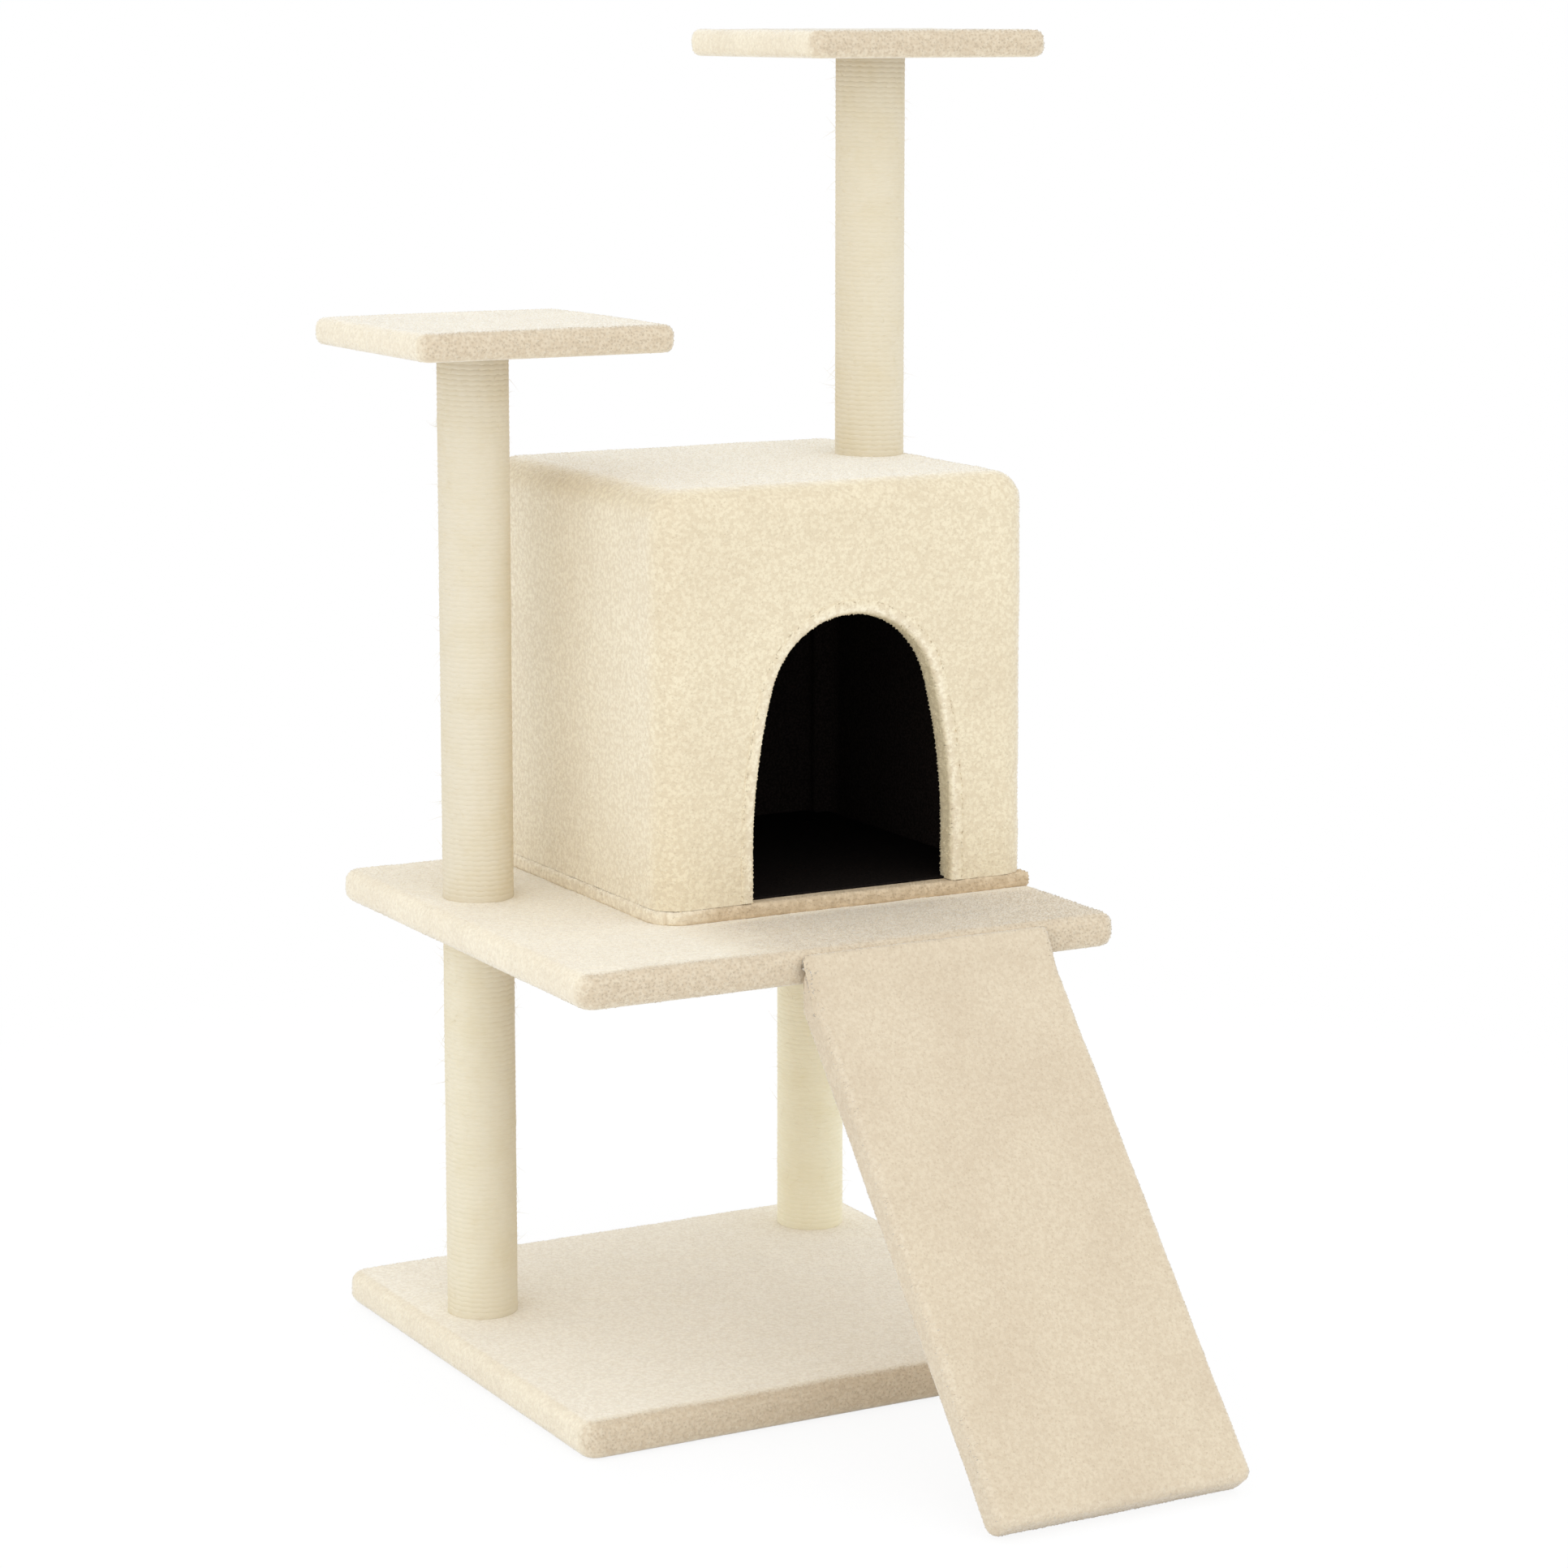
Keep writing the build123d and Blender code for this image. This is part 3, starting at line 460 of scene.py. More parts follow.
def board_finish(name, light, dark, chip, chips, rough):
    """Particle board, wood or card, from the shared grain."""
    material, tree, place = new_material(name)
    values = {"Vector": place, "Light": rgba(light), "Dark": rgba(dark), "Chip": chip, "Chips": chips}
    grain = put(tree, "ShaderNodeGroup", values, node_tree=wood_grain())
    surfaced(tree, grain["Height"], 0.25, 0.0004, {"Base Color": grain["Color"], "Roughness": rough})
    return material


def steel_finish(name, bright, dull, patch):
    """Plated steel with scratches and dull patches."""
    material, tree, place = new_material(name)
    values = {"Vector": place, "Bright": rgba(bright), "Dull": rgba(dull), "Patch": patch}
    wear = put(tree, "ShaderNodeGroup", values, node_tree=metal_wear())
    surfaced(tree, wear["Height"], 0.12, 0.0002,
             {"Base Color": wear["Color"], "Roughness": wear["Roughness"], "Metallic": 1.0})
    return material


def grown(name, mesh, tree, values):
    """Runs a geometry tree on a mesh and returns the result as a plain object."""
    made = bpy.data.objects.new(name, mesh)
    bpy.context.scene.collection.objects.link(made)
    modifier = made.modifiers.new("Growth", "NODES")
    modifier.node_group = tree
    for item in tree.interface.items_tree:
        if item.in_out == "INPUT" and item.name in values:
            modifier[item.identifier] = values[item.name]
    shown = bpy.context.evaluated_depsgraph_get()
    result = bpy.data.meshes.new_from_object(made.evaluated_get(shown), preserve_all_data_layers=True,
                                             depsgraph=shown)
    made.modifiers.remove(modifier)
    made.data = result
    result.name = name
    if not len(result.polygons):
        raise RuntimeError(f"{name} came out empty")
    return made


def shifted(tree, geometry, **places):
    """Geometry with its points set at new places or moved by an offset."""
    return put(tree, "GeometryNodeSetPosition", {"Geometry": geometry, **places})[0]


def smooth(tree, geometry, **values):
    """Geometry shaded smooth, or as the values say."""
    return put(tree, "GeometryNodeSetShadeSmooth", {0: geometry, **values})[0]


def noted(tree, geometry, name, value, domain):
    """Geometry that keeps a value under a name."""
    return put(tree, "GeometryNodeStoreNamedAttribute", {0: geometry, "Name": name, "Value": value},
               data_type="FLOAT", domain=domain)[0]


def painted(tree, geometry, take):
    """Instances made real, with the tree's material, as the tree's only output."""
    whole = put(tree, "GeometryNodeRealizeInstances", {0: geometry})[0]
    return put(tree, "GeometryNodeSetMaterial", {"Geometry": whole, "Material": take["Material"]})[:1]


def draw_between(tree, take, low, high, later):
    """A random value for each point, drawn with a later seed than the tree's own."""
    seed = sums(tree, "ADD", take["Seed"], later)
    return put(tree, "FunctionNodeRandomValue", {2: low, 3: high, "Seed": seed}, data_type="FLOAT")[1]


def spike(tree, width, length, segments):
    """A thin three-sided cone. Returns its mesh and its sides."""
    cone = put(tree, "GeometryNodeMeshCone",
               {"Vertices": 3, "Side Segments": segments, "Fill Segments": 1, "Radius Top": 0.0,
                "Radius Bottom": width, "Depth": length}, fill_type="NGON")
    return cone[0], cone["Side"]


def planted(tree, take, roots, piece, least, most, size):
    """A piece on every root, turned at random between two tilts."""
    tilt = put(tree, "FunctionNodeRandomValue", {0: least, 1: most, "Seed": take["Seed"]},
               data_type="FLOAT_VECTOR")[0]
    turn = put(tree, "FunctionNodeEulerToRotation", {0: tilt})[0]
    way = put(tree, "FunctionNodeRotateRotation", {0: roots["Rotation"], 1: turn}, rotation_space="LOCAL")[0]
    return put(tree, "GeometryNodeInstanceOnPoints",
               {"Points": roots[0], "Instance": piece, "Rotation": way, "Scale": size})[0]


@shared("GeometryNodeTree", "Cloth relief",
        ((GEOMETRY, "Cloth"), (FLOAT, "Lump Size", "Lump Height", "Grain Size", "Grain Height", "Seed"),
         (MATERIAL, "Material")), ((GEOMETRY, "Cloth"),))
def cloth_relief(tree, take):
    """Geometry tree: soft swells and curly nubs raised on a cloth, as far as its own attribute lets them."""
    place = put(tree, "GeometryNodeInputPosition")[0]
    parts = []
    for kind in ("Lump", "Grain"):
        waves = noise(tree, scaled(tree, place, take[kind + " Size"]), 1.0, seed=take["Seed"])
        parts.append(times(tree, sums(tree, "SUBTRACT", waves, 0.5), take[kind + " Height"]))
    rise = times(tree, times(tree, sums(tree, "ADD", *parts), 2.0), mark(tree, "free"))
    push = grown_by(tree, put(tree, "GeometryNodeInputNormal")[0], rise)
    return painted(tree, smooth(tree, shifted(tree, take["Cloth"], Offset=push)), take)


@shared("GeometryNodeTree", "Tuft field",
        ((GEOMETRY, "Cloth"), (FLOAT, "Spacing", "Height", "Width", "Lean"), (INTEGER, "Seed"),
         (MATERIAL, "Material")), ((GEOMETRY, "Pile"),))
def tuft_field(tree, take):
    """Geometry tree: small tufts of pile set close together over a cloth, taller where it is bent."""
    most = sums(tree, "DIVIDE", TUFT_CROWD, times(tree, take["Spacing"], take["Spacing"]))
    roots = put(tree, "GeometryNodeDistributePointsOnFaces",
                {"Mesh": take["Cloth"], "Distance Min": take["Spacing"], "Density Max": most,
                 "Density Factor": mark(tree, "pile"), "Seed": take["Seed"]}, distribute_method="POISSON")
    cone, side_light = spike(tree, take["Width"], take["Height"], 1)
    sunk = vector_of(tree, 0.0, 0.0, times(tree, take["Height"], TUFT_SINK))
    flat = smooth(tree, shifted(tree, cone, Offset=sunk), **{"Shade Smooth": False})
    tuft = smooth(tree, flat, Selection=side_light)
    lean = vector_of(tree, take["Lean"], take["Lean"], math.tau)
    back = put(tree, "ShaderNodeVectorMath", {0: lean, 1: (-1.0, -1.0, 0.0)}, operation="MULTIPLY")[0]
    size = draw_between(tree, take, *TUFT_SIZES, 1.0)
    raised = sums(tree, "MULTIPLY_ADD", sums(tree, "MAXIMUM", mark(tree, "bend"), 0.0), TUFT_RAISE, 1.0)
    stretch = vector_of(tree, size, size, times(tree, size, raised))
    field = planted(tree, take, roots, tuft, back, lean, stretch)
    shade = draw_between(tree, take, 0.0, 1.0, 2.0)
    return painted(tree, noted(tree, field, "tuft", shade, "INSTANCE"), take)


@shared("GeometryNodeTree", "Rope winding",
        ((GEOMETRY, "Empty"), (VECTOR, "Foot"),
         (FLOAT, "Length", "Radius", "Rope", "Strand", "Rise", "Lobe", "Twist", "Seed"), (INTEGER, "Points"),
         (MATERIAL, "Material")), ((GEOMETRY, "Rope"),))
def rope_winding(tree, take):
    """Geometry tree: three-strand rope wound round a post, level at both ends."""
    rope = take["Rope"]
    place = put(tree, "GeometryNodeInputPosition")[0]
    turns = sums(tree, "ADD", sums(tree, "DIVIDE", take["Length"], rope), ROPE_MORE_TURNS)
    line = put(tree, "GeometryNodeCurveSpiral",
               {"Resolution": take["Points"], "Rotations": turns, "Start Radius": take["Radius"],
                "End Radius": take["Radius"], "Height": times(tree, turns, rope)})[0]
    at = put(tree, "ShaderNodeSeparateXYZ", {0: place})
    half = times(tree, rope, 0.5)
    lowered = sums(tree, "SUBTRACT", at[2], times(tree, rope, ROPE_SETTLE))
    level = put(tree, "ShaderNodeClamp",
                {"Value": lowered, "Min": half, "Max": sums(tree, "SUBTRACT", take["Length"], half)})[0]
    waves = noise(tree, scaled(tree, place, SLACK_SIZE), 1.0, seed=take["Seed"])
    slack = sums(tree, "MULTIPLY_ADD", sums(tree, "SUBTRACT", waves, 0.5), ROPE_SLACK, 1.0)
    wound = vector_of(tree, times(tree, at[0], slack), times(tree, at[1], slack), level)
    helix = shifted(tree, line, Position=wound, Offset=take["Foot"])
    upright = put(tree, "GeometryNodeSetCurveNormal", {"Curve": helix}, mode="Z_UP")[0]
    run = put(tree, "GeometryNodeSplineParameter")["Length"]
    ring = put(tree, "GeometryNodeCurvePrimitiveCircle", {"Resolution": ROPE_SIDES, "Radius": 1.0})[0]
    section = vector_of(tree, take["Rise"], take["Strand"], 1.0)
    pressed = put(tree, "ShaderNodeVectorMath", {0: place, 1: section}, operation="MULTIPLY")[0]
    count = put(tree, "GeometryNodeInputIndex")[0]
    strands = noted(tree, shifted(tree, ring, Position=pressed), "around",
                    sums(tree, "DIVIDE", count, float(ROPE_SIDES)), "POINT")
    marked = noted(tree, upright, "along", run, "POINT")
    swept = put(tree, "GeometryNodeCurveToMesh",
                {"Curve": marked, "Profile Curve": strands, "Fill Caps": True})[0]
    twist = times(tree, mark(tree, "along"), take["Twist"])
    phase = sums(tree, "MULTIPLY_ADD", mark(tree, "around"), 3 * math.tau, twist)
    swell = times(tree, sums(tree, "COSINE", phase), take["Lobe"])
    push = grown_by(tree, put(tree, "GeometryNodeInputNormal")[0], swell)
    return painted(tree, smooth(tree, shifted(tree, swept, Offset=push)), take)


@shared("GeometryNodeTree", "Stray fibres",
        ((GEOMETRY, "Rope"), (FLOAT, "Density", "Length", "Thickness"), (INTEGER, "Seed"),
         (MATERIAL, "Material")), ((GEOMETRY, "Fibres"),))
def stray_fibres(tree, take):
    """Geometry tree: thin loose fibres that stand off a rope, mostly along its turns."""
    roots = put(tree, "GeometryNodeDistributePointsOnFaces",
                {"Mesh": take["Rope"], "Density": take["Density"], "Seed": take["Seed"]},
                distribute_method="RANDOM")
    cone = spike(tree, take["Thickness"], take["Length"], 4)[0]
    at = put(tree, "ShaderNodeSeparateXYZ", {0: put(tree, "GeometryNodeInputPosition")[0]})
    share = sums(tree, "DIVIDE", at[2], take["Length"])
    bow = times(tree, times(tree, share, share), times(tree, take["Length"], FIBRE_BOW))
    fibre = shifted(tree, cone, Position=vector_of(tree, sums(tree, "ADD", at[0], bow), at[1], at[2]))
    size = draw_between(tree, take, *FIBRE_SIZES, 1.0)
    return painted(tree, planted(tree, take, roots, fibre, *FIBRE_TILTS, size), take)


class Cloth:
    """Points and faces of a cloth, with a mark at each point for its bend together with painted light and
    shade (on two-tone cloth, its second colour), and how free each point is to swell and grown with pile.
    """

    def __init__(self):
        self.points, self.faces = [], []
        self.marks = {"bend": [], "free": [], "pile": []}

    def add(self, points, bend, free, pile):
        """Adds points and returns their numbers."""
        first = len(self.points)
        self.points.extend(points)
        for name, value in (("bend", bend), ("free", free), ("pile", pile)):
            value = np.broadcast_to(np.asarray(value, float), (len(points),))
            self.marks[name].extend(value)
        return np.arange(first, len(self.points))

    def patch(self, points, outwards, bend=0.0, free=1.0, pile=1.0):
        """Adds a grid of points as quads whose normals agree with a direction field."""
        rows, columns = points.shape[:2]
        marks = [np.broadcast_to(np.asarray(value, float), (rows, columns)).reshape(-1)
                 for value in (bend, free, pile)]
        ids = self.add(points.reshape(-1, 3), *marks).reshape(rows, columns)
        quads = np.stack([ids[:-1, :-1], ids[1:, :-1], ids[1:, 1:], ids[:-1, 1:]], axis=-1).reshape(-1, 4)
        at = np.array(self.points)[quads]
        normal = np.cross(at[:, 2] - at[:, 0], at[:, 3] - at[:, 1])
        if (normal * outwards(at.mean(1))).sum() < 0:
            quads = quads[:, ::-1]
        self.faces.extend(quads.tolist())
        return ids

    def mesh(self, name):
        """The cloth as a mesh with its marks, its meeting edges joined."""
        mesh = bpy.data.meshes.new(name)
        mesh.from_pydata([tuple(point) for point in self.points], [], self.faces)
        for key, values in self.marks.items():
            mesh.attributes.new(key, "FLOAT", "POINT").data.foreach_set("value", values)
        work = bmesh.new()
        work.from_mesh(mesh)
        bmesh.ops.remove_doubles(work, verts=work.verts, dist=WELD)
        work.to_mesh(mesh)
        work.free()
        mesh.shade_smooth()
        return mesh


def wrapped_board(low, high, plan_round, edge_round, step, fold, rise, painted_light=0.0, opened_and_shade=1.0, side_light=0.03):
    """Cloth pulled over a board, round its edges and under it by the fold, its rim turned up to the board.

    The top is lightened as painted light, the front edge darkened for its opened pile and as painted shade,
    and the other edges lightened as painted light, each by its own share.
    """
    middle, half = (low + high) / 2, (high - low) / 2
    edge = min(edge_round, MOST_EDGE * 2 * half.z)
    flat = plan_round - edge
    core = (half.x - plan_round, half.y - plan_round)
    ends = max(3, round(flat / step))

    def line(reach):
        cells = max(4, round(2 * reach / step))
        return np.concatenate([np.linspace(-reach - flat, -reach, ends, endpoint=False),
                               np.linspace(-reach, reach, cells, endpoint=False),
                               np.linspace(reach, reach + flat, ends + 1)])

    along_x, along_y = line(core[0]), line(core[1])
    grid = np.stack(np.meshgrid(along_x, along_y, indexing="ij"), axis=-1)
    kept = np.clip(grid, -np.array(core), np.array(core))
    out = grid - kept
    far = np.linalg.norm(out, axis=-1, keepdims=True)
    out = out * np.abs(out).max(-1, keepdims=True) / np.maximum(far, 1e-9)
    top = np.concatenate([kept + out, np.full(grid.shape[:2] + (1,), half.z)], axis=-1)
    rim = top[..., 1] + core[1] + flat
    cloth = Cloth()
    centre = np.array(middle)
    # On the top: painted shade along the front rim, painted light behind it.
    bend = opened_and_shade * np.clip(0.5 - rim / FRONT_SHADE_RIM, 0, 1) - painted_light * np.clip(rim / TOP_LIGHT_RIM, 0, 1)
    ids = cloth.patch(top + centre, lambda at: np.array([0.0, 0.0, 1.0]), bend)
    wide, deep = ids.shape
    around = [(i, 0) for i in range(wide)] + [(wide - 1, j) for j in range(1, deep)]
    around += [(i, deep - 1) for i in range(wide - 2, -1, -1)] + [(0, j) for j in range(deep - 2, 0, -1)]
    rows, columns = np.array(around).T
    hold = kept[rows, columns]
    way = out[rows, columns]
    way = way / np.linalg.norm(way, axis=-1, keepdims=True)
    # On the edges: painted shade in front, painted light on the other sides.
    front = np.clip(-way[:, 1], 0, 1) * opened_and_shade
    quarter = math.pi / 2
    arc = max(4, round(edge * math.pi / 2 / step))
    side = max(1, round((2 * half.z - 2 * edge) / step))
    rings = []
    for angle in np.linspace(quarter, 0, arc + 1)[1:]:
        z = half.z - edge + edge * math.sin(angle)
        rings.append((flat + edge * math.cos(angle), z, 0.0, 1.0, 1.0))
    for z in np.linspace(half.z - edge, edge - half.z, side + 1)[1:]:
        rings.append((flat + edge, z, 0.0, 1.0, 1.0))
    for angle in np.linspace(0, -quarter, arc + 1)[1:]:
        z = edge - half.z + edge * math.sin(angle)
        share = 1 + angle / quarter
        rings.append((flat + edge * math.cos(angle), z, 0.0, share, float(share > 0.3)))
    for inset in np.linspace(0, fold, max(3, round(fold / step / 2)) + 1)[1:]:
        rings.append((flat, -half.z, inset, 0.0, 0.0))
    rings.append((flat, -half.z + rise, fold, 0.0, 0.0))
    last = ids[rows, columns]
    for reach, z, inset, free, pile in rings:
        squeezed = hold * np.array([(core[0] - inset) / core[0], (core[1] - inset) / core[1]])
        points = np.concatenate([squeezed + way * reach, np.full((len(hold), 1), z)], axis=-1) + centre
        ring = cloth.add(points, free * (front - side_light * (1 - front)), free, pile)
        quads = np.stack([last, ring, np.roll(ring, -1), np.roll(last, -1)], axis=-1)
        cloth.faces.extend(quads.tolist())
        last = ring
    return cloth


def finished(made, body, slot_name, *nodes):
    """Sets a piece on its body and hides the solids it stands for; its slot name is not used."""
    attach(made, body)
    if nodes:
        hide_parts(*nodes)
    return made


def dressed(name, cloth, body, nodes, material, tuft_material, seed, relief=1.0, tufts=1.0):
    """Raises a cloth's relief, grows its pile and sets both on a body."""
    plush = bpy.context.scene.cat_tree_plush
    values = {"Lump Size": plush.lump_size, "Lump Height": plush.lump_height * relief,
              "Grain Size": plush.grain_size, "Grain Height": plush.grain_height * relief,
              "Seed": float(seed), "Material": material}
    made = grown(name + "_plush", cloth.mesh(name + "_plush"), cloth_relief(), values)
    values = {"Spacing": coarser(plush.tuft_spacing) / tufts, "Height": plush.tuft_height,
              "Width": plush.tuft_width, "Lean": TUFT_LEAN, "Seed": seed, "Material": tuft_material}
    pile = grown(name + "_pile", made.data.copy(), tuft_field(), values)
    finished(made, body, "plush", *nodes)
    finished(pile, body, "plush")
    return made, pile


def shrunk(node, by):
    """A node's box, drawn in by a distance, as vectors."""
    low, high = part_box(node)
    inset = Vector((by, by, by))
    return low + inset, high - inset


def coarser(spacing):
    return spacing * 1.0


def mesh_step():
    """Spacing of the cloths' points."""
    return coarser(bpy.context.scene.cat_tree_plush.mesh_step)


def looks_of(name, finish, *values):
    """A finish for a cloth and the same finish for its tufts, made once."""
    pair = ((name + "_cloth", False), (name + "_tufts", True))
    return [bpy.data.materials.get(key) or finish(key, *values, tufts=tufts) for key, tufts in pair]


def laid_out(name, cloth, material, slot_name, *nodes):
    """A cloth without pile, on the frame."""
    made = bpy.data.objects.new(name, cloth.mesh(name))
    bpy.context.scene.collection.objects.link(made)
    made.data.materials.append(material)
    return finished(made, "frame", slot_name, *nodes)


def seen_by_eye(tree):
    """One for what the camera sees, straight or in a mirror or through glass."""
    path = put(tree, "ShaderNodeLightPath")
    other = sums(tree, "MAXIMUM", path["Is Glossy Ray"], path["Is Transmission Ray"])
    return sums(tree, "MAXIMUM", path["Is Camera Ray"], other)


def rgba_light(power):
    """A light's colour with its alpha, which may pass white."""
    return tuple(power) + (1.0,)


class CATTREE_OT_stage(bpy.types.Operator):
    """Sets up the camera, the white floor and the soft lights"""

    bl_idname = "cat_tree.stage"
    bl_label = "Stage"

    def execute(self, context):
        stage = context.scene.cat_tree_stage
        scene = context.scene
        scene.view_settings.view_transform = "Standard"
        camera = bpy.data.objects.new("Camera", bpy.data.cameras.new("Camera"))
        camera.data.lens = stage.lens
        camera.data.sensor_width = SENSOR
        camera.data.shift_y = stage.shift
        camera.data.clip_end = 100.0
        level = math.cos(stage.pitch)
        ahead = Vector((math.sin(stage.yaw) * level, math.cos(stage.yaw) * level, math.sin(stage.pitch)))
        camera.location = stage.stand
        camera.rotation_mode = "QUATERNION"
        camera.rotation_quaternion = ahead.to_track_quat("-Z", "Y")
        scene.collection.objects.link(camera)
        scene.camera = camera
        self.light_world(scene, stage)
        self.lay_floor(scene, stage)
        middle = (cad_low + cad_high) / 2
        for name, way, power, size in (("Key", (-0.74, -0.42, 0.62), stage.key, 2.2),
                                       ("Fill", (0.05, -0.78, 0.62), stage.fill, 3.2),
                                       ("Side", (-0.86, -0.50, 0.02), stage.side, 2.6)):
            lamp = bpy.data.objects.new(name, bpy.data.lights.new(name, "AREA"))
            lamp.data.energy = max(power)
            lamp.data.size = size
            lamp.data.color = tuple(part / max(max(power), 0.001) for part in power)
            away = Vector(way).normalized()
            lamp.location = middle + away * LAMP_DISTANCE
            lamp.rotation_mode = "QUATERNION"
            lamp.rotation_quaternion = (-away).to_track_quat("-Z", "Y")
            scene.collection.objects.link(lamp)
        return {"FINISHED"}

    def light_world(self, scene, stage):
        """White to the eye, and an even dome of light to everything else."""
        world = bpy.data.worlds.new("Studio")
        world.use_nodes = True
        scene.world = world
        tree = world.node_tree
        tree.nodes.clear()
        way = put(tree, "ShaderNodeTexCoord")["Generated"]
        height = put(tree, "ShaderNodeClamp", {"Value": put(tree, "ShaderNodeSeparateXYZ", {0: way})[2]})[0]
        glow = mixed(tree, times(tree, height, height), rgba_light(stage.horizon), rgba_light(stage.zenith))
        dome = put(tree, "ShaderNodeBackground", {"Color": glow, "Strength": 1.0})[0]
        white = put(tree, "ShaderNodeBackground", {"Color": (1, 1, 1, 1), "Strength": 1.0})[0]
        either = put(tree, "ShaderNodeMixShader", {0: seen_by_eye(tree), 1: dome, 2: white})[0]
        put(tree, "ShaderNodeOutputWorld", {0: either})

    def lay_floor(self, scene, stage):
        """A wide white floor that keeps a faint shadow, and can't be seen from below."""
        mesh = bpy.data.meshes.new("Floor")
        square = ((-1, -1), (1, -1), (1, 1), (-1, 1))
        corners = [(x * FLOOR_REACH, y * FLOOR_REACH, FLOOR_Z) for x, y in square]
        mesh.from_pydata(corners, [], [(0, 1, 2, 3)])
        floor = bpy.data.objects.new("Floor", mesh)
        scene.collection.objects.link(floor)
        material, tree, place = new_material("floor_white")
        seen = seen_by_eye(tree)
        white = mixed(tree, seen, rgba(stage.floor), (0.98, 0.98, 0.98, 1.0))
        matt = put(tree, "ShaderNodeBsdfDiffuse", {"Color": white})[0]
        glow = put(tree, "ShaderNodeEmission", {"Color": (1, 1, 1, 1), "Strength": 1.0})[0]
        far = put(tree, "ShaderNodeVectorMath", {0: place}, operation="LENGTH")["Value"]
        share = times(tree, seen, ramp_of(tree, far, 0.6, 1.6, 0.88, 1.0))
        faint = put(tree, "ShaderNodeMixShader", {0: share, 1: matt, 2: glow})[0]
        below = put(tree, "ShaderNodeNewGeometry")["Backfacing"]
        clear = put(tree, "ShaderNodeBsdfTransparent")[0]
        either = put(tree, "ShaderNodeMixShader", {0: below, 1: faint, 2: clear})[0]
        put(tree, "ShaderNodeOutputMaterial", {0: either})
        floor.data.materials.append(material)


class CATTREE_OT_boards(bpy.types.Operator):
    """Wraps the base, the shelf and both perches in plush"""

    bl_idname = "cat_tree.boards"
    bl_label = "Plush boards"

    def execute(self, context):
        plush = context.scene.cat_tree_plush
        looks = looks_of("plush", plush_finish)
        for seed, name in enumerate(BOARDS, 1):
            node = name + "_cover"
            low, high = shrunk(node, plush.inset)
            if name == "base":
                low.z = BASE_CLEAR
            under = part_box(name + "_panel")[0].z - low.z
            slim = SLIM_ROUND if name.endswith("perch") else 1.0
            edge = plush.edge_round * slim
            cloth = wrapped_board(low, high, plush.plan_round * slim - plush.inset, edge - plush.inset,
                                  mesh_step(), plush.fold_under, under, BOARD_TOP_LIGHT[name])
            if name == "base":
                cloth.marks["pile"] = [float(point[2] > BASE_PILE_FOOT) for point in cloth.points]
            if name == "shelf":
                self.shade_before_house(cloth, high.z)
            made, pile = dressed(name, cloth, "frame", [node], *looks, seed)
        return {"FINISHED"}

    def shade_before_house(self, cloth, top):
        """Darkens the strip of shelf top before the house as painted shade, where the house shades it."""
        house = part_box("house_cover")[0]
        where = np.array([tuple(point) for point in cloth.points])
        house_shade = np.clip((house.y - where[:, 1]) / HOUSE_SHADE_FADE_Y, 0, 1) * (where[:, 2] > top - TOP_BAND)
        house_shade = house_shade * np.clip((where[:, 0] - house.x) / HOUSE_SHADE_FADE_X, 0, 1)
        cloth.marks["bend"] = list(np.maximum(cloth.marks["bend"], HOUSE_SHADE_MARK * house_shade - SHADE_OFFSET))


